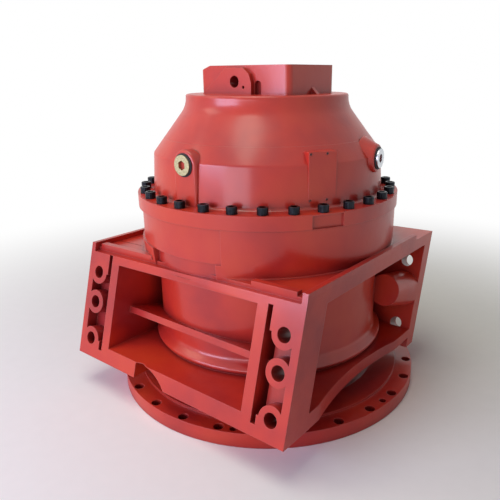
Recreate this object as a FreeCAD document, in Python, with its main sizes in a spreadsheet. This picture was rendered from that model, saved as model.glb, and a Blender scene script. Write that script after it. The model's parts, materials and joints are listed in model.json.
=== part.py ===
import FreeCAD, Part
import math
import os
import re
import Sketcher

# Drum gearbox of a concrete mixer truck, standing on its drum flange
# Millimetres and degrees. Z is the drum axis, Z = 0 the flange's face towards the drum.
# The base face looks towards -Y and leans back from the drum axis by base_tilt.

os.makedirs("parts", exist_ok=True)
Vector = FreeCAD.Vector
Rotation = FreeCAD.Rotation
Placement = FreeCAD.Placement

SIZES = {
    # drum flange and its hub
    "flange_radius": 294, "flange_thick": 26.5, "flange_hole_edge": 11, "flange_hole_radius": 8.75,
    "flange_hole_count": 26, "jack_hole_radius": 6, "rim_width": 33, "web_rise": 4.5, "raised_width": 46,
    "dish_slope": 23,
    "dish_floor": 12, "hub_seal_radius": 100, "hub_radius": 90, "hub_wall": 12, "hub_bore_radius": 60,
    "end_cover_radius": 82, "end_cover_thick": 10, "end_cover_inset": 0.5, "end_screw_edge": 11,
    "end_screw_count": 6, "end_screw_radius": 4, "end_screw_head_radius": 6.5, "end_screw_head": 5,
    "end_screw_depth": 15,
    # tilting bearing of the drum flange
    "swivel_height": 112, "bearing_width": 60, "race_sphere_radius": 129, "race_outer_radius": 142,
    "inner_race_edge_radius": 103.6, "inner_race_rib_radius": 107.2, "locknut_thick": 4,
    "locknut_radius": 104,
    "roller_circle": 117, "roller_offset": 15, "roller_radius": 10.6, "roller_end_radius": 9.4,
    "roller_length": 22, "rollers_per_row": 12, "cage_thick": 6.2, "cage_bar": 4, "cage_wall": 6,
    # seal carrier that tilts with the flange
    "seal_sphere_radius": 150, "seal_carrier_height": 53, "seal_carrier_width": 10, "seal_lip_wall": 12,
    "neck_radius": 160, "neck_bottom": 33, "neck_flange_radius": 174, "neck_flange_thick": 12,
    "neck_spigot_radius": 156, "neck_roof": 8,
    "neck_screw_edge": 8, "neck_screw_count": 12, "neck_screw_radius": 4, "neck_screw_head_radius": 6.5,
    "neck_screw_head": 8, "neck_screw_depth": 14,
    # cast housing
    "housing_bottom": 66, "bowl_radius": 198, "lip_radius": 229, "lip_height": 99, "lip_step": 14,
    "wall_radius": 213,
    "wall_height": 238, "shoulder_radius": 236, "shoulder_rise": 12, "shoulder_height": 292,
    "rim_radius": 241, "joint_height": 352,
    "bearing_shoulder": 8, "carrier_seat_height": 160, "carrier_seat_radius": 160,
    "carrier_seat_depth": 40, "sump_radius": 201, "sump_hub_radius": 176, "sump_floor": 92,
    # mounting frame cast on the housing
    "base_tilt": 15, "base_distance": 294, "back_distance": 140, "frame_half_width": 250,
    "pad_width": 86, "pad_depth": 56, "cheek_top": 280, "cheek_thick": 10, "frame_bottom": 62,
    "web_top": 270, "web_thick": 20.5, "web_lean": 1.6,
    "floor_web_top": 90, "wing_thick": 28, "wing_width": 110, "wing_bottom": 53, "wing_top": 268,
    "foot_hole_radius": 12, "foot_hole_row": 219.5, "foot_hole_high": 150.9, "foot_hole_mid": 93.1,
    "foot_hole_low": 20.8, "back_hole_shift": 108, "rib_height": 95, "rib_thick": 12, "rib_setback": 40,
    "side_rib_thick": 14, "waist_depth": 15, "waist_radius": 600, "slot_offset": 31, "slot_width": 9,
    "slot_depth": 40, "pocket_depth": 22, "pocket_reach": 236, "foot_boss_radius": 22.5,
    "arch_radius": 80, "arch_shift": -69, "arch_drop": 65, "arch_end": -84, "drain_angle": 90,
    "drain_height": 130, "drain_face": 230, "underside_rise": 13,
    "underside_setback": 60, "drain_boss_radius": 15, "drain_thread_radius": 8, "drain_head_radius": 12,
    "drain_head": 7, "drain_stem": 24, "drain_tap": 15,
    "panel_radius": 229, "panel_top": 293, "panel_start": -108.5, "panel_span": 36,
    "shelf_height": 264, "bar_front": 223, "bar_depth": 12, "bar_top": 277, "left_bar_start": -234,
    "left_bar_end": -88, "right_bar_start": 141, "right_bar_end": 227,
    "rim_cut_radius": 237.5, "rim_cut_start": -200, "rim_cut_span": 130,
    "wing_boss_radius": 36, "wing_boss_tip_radius": 30, "wing_boss_length": 100, "corner_round": 8,
    # cast cover with the motor block
    "cover_flange_radius": 244, "cover_flange_thick": 24, "cover_foot_radius": 214,
    "cover_shoulder_radius": 210,
    "cover_shoulder_height": 446, "collar_radius": 148, "collar_bottom": 527, "collar_top": 547,
    "flare_round": 42, "shoulder_round": 50, "collar_round": 4, "foot_round": 7, "lip_round": 6,
    "spigot_radius": 222, "spigot_wall": 17, "cover_wall": 14, "block_length": 200, "block_width": 140,
    "block_top": 595, "block_corner": 12, "pilot_radius": 63.5, "pilot_depth": 12, "well_radius": 56,
    "motor_bolt_pitch": 114.5, "motor_bolt_radius": 5.25, "motor_bolt_depth": 26,
    "joint_screw_circle": 230.5, "joint_screw_count": 30, "joint_screw_radius": 6,
    "joint_screw_head_radius": 9,
    "joint_screw_head": 12, "joint_screw_length": 50, "o_ring_radius": 2,
    "plug_height": 443, "plug_radius": 16.5, "plug_thread_radius": 11, "plug_head": 5,
    "plug_boss_width": 48,
    "plug_boss_face": 217, "plug_stem": 24, "plug_tap": 47, "plug_socket_radius": 8, "plug_socket_depth": 8,
    "boss_root": 67, "plug_boss_bottom": 380, "plug_boss_top": 469, "fitting_angle": 8,
    "flat_depth": 5, "flat_width": 54, "flat_angle": -29.3, "plate_angle": -28, "plate_width": 50,
    "plate_bottom": 385, "plate_top": 466, "plate_face": 212,
    "boss_foot": 86, "boss_shoulder": 31, "boss_reach": 27, "sensor_boss_rise": 9, "sensor_port_radius": 10,
    "sensor_shift": -10, "sensor_height": 568, "lock_hole_radius": 2.5, "lock_hole_shift": 10,
    "lock_hole_height": 559, "lock_hole_depth": 14, "gusset": 8,
    "niche_radius": 7, "niche_shift": 35, "niche_spring": 563, "niche_depth": 8, "block_slope_length": 25,
    "block_slope_drop": 9,
    # gear trains
    "tooth_height_share": 0.85, "tooth_play": 0.35,
    "output_module": 8, "middle_module": 6, "input_module": 5,
    "output_sun_teeth": 12, "output_planet_teeth": 18, "output_planets": 4,
    "middle_sun_teeth": 12, "middle_planet_teeth": 21, "middle_planets": 3,
    "input_sun_teeth": 12, "input_planet_teeth": 18, "input_planets": 3,
    "output_bottom": 254, "output_width": 80, "middle_bottom": 382, "middle_width": 54,
    "input_bottom": 468, "input_width": 34,
    "output_pin_radius": 26, "middle_pin_radius": 18, "input_pin_radius": 14,
    "output_post_radius": 20, "middle_post_radius": 18, "input_post_radius": 13,
    "output_post_circle": 150, "middle_post_circle": 120, "input_post_circle": 91,
    "output_plate_thick": 22, "middle_plate_thick": 14, "input_plate_thick": 10,
    "output_plate_radius": 186, "output_plate_bore": 20, "middle_plate_radius": 142,
    "input_plate_radius": 110,
    "output_ring_radius": 222, "middle_ring_radius": 186, "input_ring_radius": 137,
    "output_shaft_radius": 38, "middle_shaft_radius": 28, "journal_radius": 120, "stub_radius": 50,
    "crown_teeth": 20, "crown_pitch_radius": 70, "crown_width": 14, "crown_tip_radius": 73,
    "crown_root_radius": 65.5, "crown_tooth": 8.8, "socket_width": 30, "socket_tip_radius": 67,
    "socket_root_radius": 75.5, "socket_gap": 13.2,
    "input_shaft_radius": 25, "socket_bore_radius": 16, "socket_depth": 46, "input_shaft_top": 576,
    "input_bearing_radius": 52, "input_bearing_width": 24, "input_seal_radius": 42, "input_seal_width": 9,
    # clearances
    "fit_gap": 0.2, "pin_play": 0.05, "running_gap": 0.4, "face_gap": 2, "bolt_gap": 0.75, "screw_gap": 0.5,
    "seat_gap": 0.3,
}

doc = FreeCAD.newDocument("MixerDrumGearbox")
sheet = doc.addObject("Spreadsheet::Sheet", "Sizes")
for row, (alias, number_value) in enumerate(SIZES.items(), 1):
    sheet.set(f"A{row}", alias)
    sheet.set(f"B{row}", str(number_value))
    sheet.setAlias(f"B{row}", alias)
doc.recompute()


def formula(text):
    """The text with every size's name turned into a reference to its cell."""
    return re.sub(r"[a-z][a-z0-9_]*", lambda m: "Sizes." + m.group() if m.group() in SIZES else m.group(),
                  str(text))


def number(text):
    """The value of a formula of sizes."""
    return float(sheet.evalExpression(formula(text)))


def bind(feature, prop, text):
    feature.setExpression(prop, formula(text))


# Building blocks

def outline(body, name, role, points):
    """A closed sketch on an origin plane, each corner held at two formulas of sizes."""
    sketch = body.newObject("Sketcher::SketchObject", name)
    plane = next(feature for feature in body.Origin.OriginFeatures if feature.Role == role)
    sketch.AttachmentSupport = [(plane, "")]
    sketch.MapMode = "FlatFace"
    places = [Vector(number(x), number(y), 0) for x, y in points]
    last = len(points) - 1
    for index, place in enumerate(places):
        following = places[0 if index == last else index + 1]
        sketch.addGeometry(Part.LineSegment(place, following), False)
    for index in range(len(points)):
        sketch.addConstraint(Sketcher.Constraint("Coincident", index, 2, 0 if index == last else index + 1,
                                                 1))
    for index, (x, y) in enumerate(points):
        for kind, text in (("DistanceX", x), ("DistanceY", y)):
            held = sketch.addConstraint(Sketcher.Constraint(kind, index, 1, number(text)))
            bind(sketch, f"Constraints[{held}]", text)
    return sketch


def turned(label, points):
    """A body turned about Z from corners given as radius and height."""
    body = doc.addObject("PartDesign::Body", label)
    sketch = outline(body, label + "_profile", "XZ_Plane", points)
    turn = body.newObject("PartDesign::Revolution", label + "_turn")
    turn.Profile = sketch
    turn.ReferenceAxis = (sketch, ["V_Axis"])
    turn.Angle = 360
    doc.recompute()
    return body


def ring(label, inner, outer, low, high):
    return turned(label, [(inner, low), (outer, low), (outer, high), (inner, high)])


def placed(feature, x, y, z, turn=None):
    feature.Placement = Placement(Vector(number(x), number(y), number(z)), turn or Rotation())
    return feature


def box(label, x, y, z):
    """A block between two formulas along each axis."""
    block = doc.addObject("Part::Box", label)
    for prop, (low, high) in zip(("Length", "Width", "Height"), (x, y, z)):
        bind(block, prop, f"({high}) - ({low})")
    return placed(block, x[0], y[0], z[0])


def rod(label, radius, low, high, x="0", y="0"):
    """An upright cylinder between two heights."""
    cylinder = doc.addObject("Part::Cylinder", label)
    bind(cylinder, "Radius", radius)
    bind(cylinder, "Height", f"({high}) - ({low})")
    return placed(cylinder, x, y, low)


TILT = Rotation(Vector(-1, 0, 0), number("base_tilt"))


def tilted(feature):
    """Turns a block or rod made upright into the leaning frame of the base face."""
    feature.Placement = Placement(Vector(), TILT) * feature.Placement
    return feature


def turned_to(feature, angle):
    """Turns a block or rod about Z."""
    feature.Placement = Placement(Vector(), Rotation(Vector(0, 0, 1), angle)) * feature.Placement
    return feature


def fused(label, pieces):
    union = doc.addObject("Part::MultiFuse", label)
    union.Shapes = pieces
    return union


def common(label, pieces):
    overlap = doc.addObject("Part::MultiCommon", label)
    overlap.Shapes = pieces
    return overlap


def cut(label, base, tool):
    rest = doc.addObject("Part::Cut", label)
    rest.Base = base
    rest.Tool = tool
    return rest


def level_rod(label, radius, length, x, y, z, angle):
    """A level cylinder that starts at a point and runs outwards at an angle about Z."""
    cylinder = doc.addObject("Part::Cylinder", label)
    bind(cylinder, "Radius", radius)
    bind(cylinder, "Height", length)
    facing = Rotation(Vector(0, 0, 1), angle) * Rotation(Vector(0, 1, 0), 90)
    cylinder.Placement = Placement(Vector(x, y, z), facing)
    return cylinder


def around(count, start=0.0):
    """Angles evenly spaced about Z."""
    return [start + 360.0 * index / count for index in range(count)]


def polar(radius, angle):
    return radius * math.cos(math.radians(angle)), radius * math.sin(math.radians(angle))


def rod_circle(label, radius, low, high, circle, angles):
    """Upright cylinders on a circle, joined as one tool or one group of fasteners."""
    rods = []
    for index, angle in enumerate(angles):
        piece = rod(f"{label}_{index}", radius, low, high)
        x, y = polar(number(circle), angle)
        piece.Placement.Base = Vector(x, y, piece.Placement.Base.z)
        rods.append(piece)
    return rods


def sector(label, inner, outer, low, high, start, span):
    """Part of a ring about Z between two angles."""
    wide = rod(label + "Wide", outer, low, high)
    bind(wide, "Angle", span)
    slim = rod(label + "Slim", inner, f"{low} - 1", f"{high} + 1")
    return turned_to(cut(label, wide, slim), number(start))


def rounded_rims(label, base, picks):
    """Rounds whole circles about Z, each picked by its radius and height."""
    doc.recompute()
    rounding = doc.addObject("Part::Fillet", label)
    rounding.Base = base
    chosen = []
    for radius, height, size in picks:
        for index, edge in enumerate(base.Shape.Edges, 1):
            circle = edge.Curve
            if not isinstance(circle, Part.Circle):
                continue
            if abs(circle.Radius - number(radius)) < 0.01 and abs(circle.Center.z - number(height)) < 0.01:
                chosen.append((index, number(size), number(size)))
    rounding.Edges = chosen
    return rounding


def compound(label, pieces):
    group = doc.addObject("Part::Compound", label)
    group.Links = pieces
    return group


# Gear teeth: straight flanks through three points of a 25 degree involute

PRESSURE = math.radians(25)


def flank_angle(teeth, module, radius):
    """Half the angle that a tooth covers at a radius, without play."""
    pitch = module * teeth / 2
    base = pitch * math.cos(PRESSURE)
    leaning = math.acos(min(1.0, base / max(radius, base)))
    return (math.pi / 2 / teeth + math.tan(PRESSURE) - PRESSURE) - (math.tan(leaning) - leaning)


def toothed_wire(teeth, half_angles, first):
    """A closed wheel outline; half_angles runs from the gaps' floor to the teeth's tips."""
    corners = []
    for tooth in range(teeth):
        middle = first + 2 * math.pi * tooth / teeth
        sides = [(radius, middle - half) for radius, half in half_angles]
        sides += [(radius, middle + half) for radius, half in reversed(half_angles)]
        corners += [Vector(r * math.cos(a), r * math.sin(a), 0) for r, a in sides]
    return Part.makePolygon(corners + corners[:1])


def prism(wire, low, width):
    face = Part.Face(wire)
    face.translate(Vector(0, 0, low))
    return face.extrude(Vector(0, 0, width))


def wheel_solid(teeth, module, low, width, first):
    """An outside-toothed wheel; first is the angle of its first tooth."""
    height = number("tooth_height_share") * module
    pitch = module * teeth / 2
    play = number("tooth_play")
    rings = [pitch - height - 0.15 * module, pitch, pitch + height]
    halves = [(radius, flank_angle(teeth, module, radius) - play / radius) for radius in rings]
    return prism(toothed_wire(teeth, halves, first), low, width)


def ring_gap_solid(teeth, module, low, width, first):
    """The tool that cuts inside teeth; first is the angle of its first gap."""
    height = number("tooth_height_share") * module
    pitch = module * teeth / 2
    play = number("tooth_play")
    rings = [pitch - height, pitch + height + 0.15 * module]
    halves = [(radius, flank_angle(teeth, module, radius) + play / radius) for radius in rings]
    return prism(toothed_wire(teeth, halves, first), low, width)


def shaped(label, shape):
    feature = doc.addObject("Part::Feature", label)
    feature.Shape = shape
    return feature


PARTS = {}


def keep(node, feature):
    """Names a finished sub-part; its label is its file's name."""
    feature.Label = node
    PARTS[node] = feature
    return feature


# Drum flange: bolt rim, raised web, dished floor and hub with inside coupling teeth

cover_floor = "end_cover_thick"
end_screw_circle = "end_cover_radius - end_screw_edge"
end_screw_seat = "end_cover_inset + end_screw_head"
inner_low = "swivel_height - bearing_width / 2"
inner_high = "swivel_height + bearing_width / 2"
hub_top = f"{inner_high} + locknut_thick"
socket_low = "swivel_height - socket_width / 2"
socket_high = "swivel_height + socket_width / 2"
relief = "hub_radius - hub_wall"
raised_rim = "flange_radius - rim_width"
dish_rim = "flange_radius - rim_width - raised_width"
flange_turned = turned("FlangeTurned", [
    ("hub_bore_radius", cover_floor), ("end_cover_radius", cover_floor), ("end_cover_radius", "0"),
    ("flange_radius", "0"), ("flange_radius", "flange_thick"), (raised_rim, "flange_thick"),
    (raised_rim, "flange_thick + web_rise"), (dish_rim, "flange_thick + web_rise"),
    (f"{dish_rim} - dish_slope", "dish_floor"), ("hub_seal_radius", "dish_floor"),
    ("hub_seal_radius", f"{inner_low}"), ("hub_radius", f"{inner_low}"), ("hub_radius", hub_top),
    (relief, hub_top), (relief, socket_high), ("socket_tip_radius", socket_high),
    ("socket_tip_radius", socket_low), (relief, socket_low), (relief, f"{socket_low} - 8"),
    ("hub_bore_radius", f"{socket_low} - 8"),
])
flange_holes = rod_circle(
    "FlangeHole", "flange_hole_radius", "-1", "flange_thick + 1", "flange_radius - flange_hole_edge",
    around(int(number("flange_hole_count"))))
jack_holes = rod_circle(
    "JackHole", "jack_hole_radius", "-1", "flange_thick + 1", "flange_radius - flange_hole_edge",
    [-64.1, -6.5, 115.9, 173.5])
end_screw_angles = around(int(number("end_screw_count")), 30)
end_screw_holes = rod_circle(
    "EndScrewHole", "end_screw_radius + pin_play", cover_floor, f"{cover_floor} + end_screw_depth + 1",
    end_screw_circle,
    end_screw_angles)


def gap_blade(tip, root, gap, low, high, angle, label):
    """A block that cuts one coupling gap between two radii."""
    blade = box(label, (f"{tip} - 2", root), (f"-({gap}) / 2", f"({gap}) / 2"), (low, high))
    return turned_to(blade, angle)


socket_blades = [
    gap_blade("socket_tip_radius", "socket_root_radius", "socket_gap", socket_low, socket_high, angle,
              f"SocketGap_{index}")
    for index, angle in enumerate(around(int(number("crown_teeth"))))]
keep("drum_flange", cut("DrumFlange", flange_turned, fused(
    "FlangeTools", flange_holes + jack_holes + end_screw_holes + socket_blades)))

end_cover_blank = turned("EndCoverBlank", [
    ("0", "end_cover_inset"), ("end_cover_radius - fit_gap", "end_cover_inset"),
    ("end_cover_radius - fit_gap", cover_floor),
    ("0", cover_floor)])
end_cover_tools = rod_circle("EndCoverBore", "end_screw_radius + screw_gap", "0", cover_floor,
                             end_screw_circle, end_screw_angles)
end_cover_tools += rod_circle("EndCoverSink", "end_screw_head_radius + screw_gap", "0", end_screw_seat,
                              end_screw_circle, end_screw_angles)
keep("hub_end_cover", cut("HubEndCover", end_cover_blank, fused("EndCoverTools", end_cover_tools)))
end_screws = []
for index, angle in enumerate(end_screw_angles):
    stem = rod(f"EndStem_{index}", "end_screw_radius", end_screw_seat, f"{cover_floor} + end_screw_depth")
    cap = rod(f"EndCap_{index}", "end_screw_head_radius", "end_cover_inset", end_screw_seat)
    for piece in (stem, cap):
        x, y = polar(number(end_screw_circle), angle)
        piece.Placement.Base = Vector(x, y, piece.Placement.Base.z)
    end_screws.append(fused(f"EndScrew_{index}", [stem, cap]))
keep("end_cover_screws", compound("EndCoverScrews", end_screws))

# Tilting bearing of the drum flange

keep("bearing_inner_race", turned("BearingInnerRace", [
    ("hub_radius", inner_low), ("inner_race_edge_radius", inner_low),
    ("inner_race_rib_radius", "swivel_height - 2.5"), ("inner_race_rib_radius", "swivel_height + 2.5"),
    ("inner_race_edge_radius", inner_high), ("hub_radius", inner_high)]))
keep("bearing_locknut", ring("BearingLocknut", "hub_radius", "locknut_radius", inner_high, hub_top))
race_blank = rod("RaceBlank", "race_outer_radius", inner_low, inner_high)
race_ball = doc.addObject("Part::Sphere", "RaceBall")
bind(race_ball, "Radius", "race_sphere_radius")
placed(race_ball, "0", "0", "swivel_height")
keep("bearing_outer_race", cut("BearingOuterRace", race_blank, race_ball))


def barrel_roller(index, angle, side):
    """One barrel roller, its axis square to the line from the swivel centre."""
    half = number("roller_length / 2")
    belly = number("roller_radius")
    end = number("roller_end_radius")
    lower = Part.makeCone(end, belly, half, Vector(0, 0, -half))
    upper = Part.makeCone(belly, end, half)
    barrel = lower.fuse(upper)
    offset = number("roller_offset") * side
    circle = number("roller_circle")
    lean = math.degrees(math.atan2(offset, circle))
    barrel.Placement = Placement(Vector(), Rotation(Vector(0, 0, 1), angle)) * Placement(
        Vector(circle, 0, number("swivel_height") + offset), Rotation(Vector(0, -1, 0), lean))
    return shaped(f"Roller_{index}", barrel)


rows = int(number("rollers_per_row"))
rollers = [barrel_roller(f"low_{i}", angle, -1) for i, angle in enumerate(around(rows))]
rollers += [barrel_roller(f"high_{i}", angle, 1) for i, angle in enumerate(around(rows, 180.0 / rows))]
keep("barrel_rollers", compound("BarrelRollers", rollers))
cage_middle = ring("CageMiddle", "roller_circle - cage_wall", "roller_circle + cage_wall",
                   "swivel_height - cage_thick / 2", "swivel_height + cage_thick / 2")
cage_bars = []
for side, start in ((-1, 180.0 / rows), (1, 0.0)):
    reach = "roller_offset + roller_length / 2"
    span = ("swivel_height", f"swivel_height + {reach}") if side > 0 else (f"swivel_height - ({reach})",
                                                                           "swivel_height")
    for index, angle in enumerate(around(rows, start)):
        bar = box(f"CageBar_{side + 1}_{index}",
                  ("roller_circle - cage_wall + 2", "roller_circle + cage_wall - 2"),
                  ("-cage_bar / 2", "cage_bar / 2"), span)
        cage_bars.append(turned_to(bar, angle))
keep("roller_cage", fused("RollerCage", [cage_middle] + cage_bars))

# Neck ring that clamps the bearing and seats the tilting seal carrier

neck_top = "housing_bottom"
neck_blank = turned("NeckBlank", [
    ("race_outer_radius - 18", "neck_bottom"), ("neck_radius", "neck_bottom"),
    ("neck_radius", f"{neck_top} - neck_flange_thick"),
    ("neck_flange_radius", f"{neck_top} - neck_flange_thick"),
    ("neck_flange_radius", neck_top), ("neck_spigot_radius", neck_top),
    ("neck_spigot_radius", inner_low), ("race_outer_radius - 6", inner_low),
    ("race_outer_radius - 6", f"{inner_low} - neck_roof")])
seat_ball = doc.addObject("Part::Sphere", "SeatBall")
bind(seat_ball, "Radius", "seal_sphere_radius")
placed(seat_ball, "0", "0", "swivel_height")
seat_tool = common("SeatTool",
                   [seat_ball,
                    rod("SeatSpan", "seal_sphere_radius + 5", "neck_bottom - 1",
                        f"{inner_low} - neck_roof")])
neck_screw_circle = "neck_flange_radius - neck_screw_edge"
neck_angles = around(int(number("neck_screw_count")), 15)
neck_bores = rod_circle("NeckBore", "neck_screw_radius + bolt_gap", "neck_bottom", neck_top,
                        neck_screw_circle, neck_angles)
neck_spots = rod_circle("NeckSpot", "neck_screw_head_radius + 2 * screw_gap", "neck_bottom",
                        f"{neck_top} - neck_flange_thick",
                        neck_screw_circle, neck_angles)
keep("neck_ring", cut("NeckRing", neck_blank, fused("NeckTools", [seat_tool] + neck_bores + neck_spots)))
neck_screws = []
for index, angle in enumerate(neck_angles):
    stem = rod(f"NeckStem_{index}", "neck_screw_radius", f"{neck_top} - neck_flange_thick",
               f"{neck_top} + neck_screw_depth")
    cap = rod(f"NeckCap_{index}", "neck_screw_head_radius",
              f"{neck_top} - neck_flange_thick - neck_screw_head",
              f"{neck_top} - neck_flange_thick")
    for piece in (stem, cap):
        x, y = polar(number(neck_screw_circle), angle)
        piece.Placement.Base = Vector(x, y, piece.Placement.Base.z)
    neck_screws.append(fused(f"NeckScrew_{index}", [stem, cap]))
keep("neck_ring_screws", compound("NeckRingScrews", neck_screws))

carrier_low = "seal_carrier_height - seal_carrier_width / 2"
carrier_high = "seal_carrier_height + seal_carrier_width / 2"
lip_outer = "hub_seal_radius + seal_lip_wall"
carrier_ball = doc.addObject("Part::Sphere", "CarrierBall")
bind(carrier_ball, "Radius", "seal_sphere_radius - running_gap")
placed(carrier_ball, "0", "0", "swivel_height")
keep("seal_carrier", common("SealCarrier", [
    ring("CarrierBlank", f"{lip_outer}", "seal_sphere_radius", carrier_low, carrier_high), carrier_ball]))
keep("flange_lip_seal",
     ring("FlangeLipSeal", "hub_seal_radius + running_gap", lip_outer, carrier_low, carrier_high))

# Cast housing with its mounting frame

frame_front = "-base_distance"
frame_back = "back_distance"
half_width = "frame_half_width"
pad_inner = "frame_half_width - pad_width"
housing_mass = turned("HousingMass", [
    ("0", "housing_bottom"), ("bowl_radius", "housing_bottom"), ("lip_radius", "lip_height"),
    ("wall_radius", "lip_height + lip_step"), ("wall_radius", "wall_height"),
    ("shoulder_radius", "wall_height + shoulder_rise"), ("rim_radius", "shoulder_height"),
    ("rim_radius", "joint_height"), ("0", "joint_height")])
housing_round = rounded_rims("HousingRound", housing_mass, [
    ("lip_radius", "lip_height", "lip_round"), ("wall_radius", "lip_height + lip_step", "2 * lip_round")])
panel = sector("Panel", "panel_radius", "rim_radius + 20", "shelf_height - 6", "panel_top", "panel_start",
               "panel_span")
housing_body = cut("HousingBody", housing_round, panel)
slab = tilted(box("FrameSlab", (f"-({half_width})", half_width), (frame_front, frame_back),
                  ("-400", "600")))


def leaned(feature):
    """Tips a piece of the top web, which rises a little along X."""
    pivot = Vector(0, 0, number("web_top"))
    feature.Placement = Placement(Vector(), Rotation(Vector(0, -1, 0), number("web_lean")),
                                  pivot) * feature.Placement
    return feature


def both_sides(make):
    """One piece on each side of the plane X = 0."""
    return [make(-1), make(1)]


def mirrored_span(side, low, high):
    return (low, high) if side > 0 else (f"-({high})", f"-({low})")


def pad(side):
    upright = tilted(box(f"Pad_{side + 1}", mirrored_span(side, pad_inner, half_width),
                         (frame_front, f"{frame_front} + pad_depth"), ("-400", "600")))
    band = box(f"PadBand_{side + 1}", ("-400", "400"), ("-500", "0"), ("frame_bottom", "web_top"))
    return common(f"PadCut_{side + 1}", [upright, band])


def wing(side):
    upright = tilted(box(f"Wing_{side + 1}",
                         mirrored_span(side, "frame_half_width - wing_width", half_width),
                         (f"{frame_back} - wing_thick", frame_back), ("-400", "600")))
    band = box(f"WingBand_{side + 1}", ("-400", "400"), ("0", "500"), ("wing_bottom", "wing_top"))
    return common(f"WingCut_{side + 1}", [upright, band])


def side_rib(side):
    return box(f"SideRib_{side + 1}", mirrored_span(side, pad_inner, f"{pad_inner} + side_rib_thick"),
               ("-base_distance + 30", "-90"), ("frame_bottom", "web_top - 5"))


def cheek(side):
    return leaned(box(f"Cheek_{side + 1}",
                      mirrored_span(side, "frame_half_width - cheek_thick", half_width),
                      ("-base_distance", "back_distance"), ("web_top - web_thick", "cheek_top")))


def wing_boss(side):
    cone = doc.addObject("Part::Cone", f"WingBoss_{side + 1}")
    bind(cone, "Radius1", "wing_boss_radius")
    bind(cone, "Radius2", "wing_boss_tip_radius")
    bind(cone, "Height", "wing_boss_length")
    middle = number("foot_hole_mid + back_hole_shift")
    forward = Rotation(Vector(1, 0, 0), 90)
    cone.Placement = Placement(Vector(side * number("foot_hole_row"),
                                      number("back_distance - wing_thick / 2"), middle), forward)
    return tilted(cone)


top_web = leaned(box("TopWeb", ("-400", "400"), ("-500", "500"), ("web_top - web_thick", "web_top")))
bars = [leaned(box(name, span, ("-bar_front", "bar_depth - bar_front"), ("web_top - 5", "bar_top")))
        for name, span in (("LeftBar", ("left_bar_start", "left_bar_end")),
                           ("RightBar", ("right_bar_start", "right_bar_end")))]
shelf_tool = leaned(box("ShelfTool", ("cheek_thick - frame_half_width", "frame_half_width - cheek_thick"),
                        ("-500", "-bar_front"), ("shelf_height", "shelf_height + 200")))
floor_web = box("FloorWeb", (f"-({half_width})", half_width), ("-500", "500"),
                ("frame_bottom", "floor_web_top"))
waists = []
for side in (-1, 1):
    waist = rod(f"Waist_{side + 1}", "waist_radius", "0", "web_top - web_thick")
    waist.Placement.Base = Vector(side * number("frame_half_width - waist_depth + waist_radius"), -60, 0)
    waists.append(waist)
underside = box("Underside", ("-400", "400"), ("underside_setback - base_distance", "300"),
                ("frame_bottom - 60", "frame_bottom"))
rise = math.degrees(math.atan2(number("underside_rise"), number("base_distance + back_distance")))
hinge = Vector(0, -number("base_distance - underside_setback"), number("frame_bottom"))
underside.Placement = Placement(Vector(), Rotation(Vector(1, 0, 0), rise), hinge) * underside.Placement
floor_plate = cut("FloorPlate", floor_web, fused("Waists", waists + [underside]))
middle_rib = tilted(box("MiddleRib", (f"-({pad_inner}) - 5", f"{pad_inner} + 5"),
                        (f"{frame_front} + rib_setback", "0"), ("rib_height - rib_thick", "rib_height")))
frame_raw = fused("FrameRaw", [top_web, floor_plate, middle_rib] + bars + both_sides(pad) + both_sides(wing)
                  + both_sides(side_rib) + both_sides(cheek) + both_sides(wing_boss))
frame_trim = common("FrameTrim", [cut("FrameShelf", frame_raw, shelf_tool), slab])
drain_angle = number("drain_angle")
drain_height = number("drain_height")
drain_boss = level_rod("DrainBoss", "drain_boss_radius", "drain_face - sump_radius + 4",
                       *polar(number("sump_radius - 4"), drain_angle),
                       drain_height, drain_angle)
housing_solid = fused("HousingSolid", [housing_body, frame_trim, drain_boss])

ring_seat = "output_ring_radius + fit_gap"
housing_inside = turned("HousingInside", [
    ("0", "housing_bottom - 20"), ("neck_flange_radius + 1", "housing_bottom - 20"),
    ("neck_flange_radius + 1", "housing_bottom"), ("neck_spigot_radius + fit_gap", "housing_bottom"),
    ("neck_spigot_radius + fit_gap", inner_low), ("race_outer_radius + fit_gap", inner_low),
    ("race_outer_radius + fit_gap", inner_high), ("race_outer_radius - bearing_shoulder", inner_high),
    ("race_outer_radius - bearing_shoulder", "carrier_seat_height"),
    ("carrier_seat_radius + fit_gap", "carrier_seat_height"),
    ("carrier_seat_radius + fit_gap", "carrier_seat_height + carrier_seat_depth"),
    ("sump_hub_radius", "carrier_seat_height + carrier_seat_depth"), ("sump_hub_radius", "sump_floor"),
    ("sump_radius - 22", "sump_floor"), ("sump_radius", "sump_floor + 26"),
    ("sump_radius", "output_bottom - 22"), ("sump_radius - 12", "output_bottom - 14"),
    ("sump_radius - 12", "output_bottom"),
    (ring_seat, "output_bottom"), (ring_seat, "joint_height + 5"), ("0", "joint_height + 5")])


def frame_hole(label, side, distance, depth, height, radius="foot_hole_radius"):
    """A bolt hole square to the base face, from a depth towards the drum axis."""
    hole = doc.addObject("Part::Cylinder", label)
    bind(hole, "Radius", radius)
    bind(hole, "Height", depth)
    into = Rotation(Vector(1, 0, 0), -90)
    hole.Placement = Placement(Vector(side * number("foot_hole_row"), number(distance), number(height)),
                               into)
    return tilted(hole)


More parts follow.
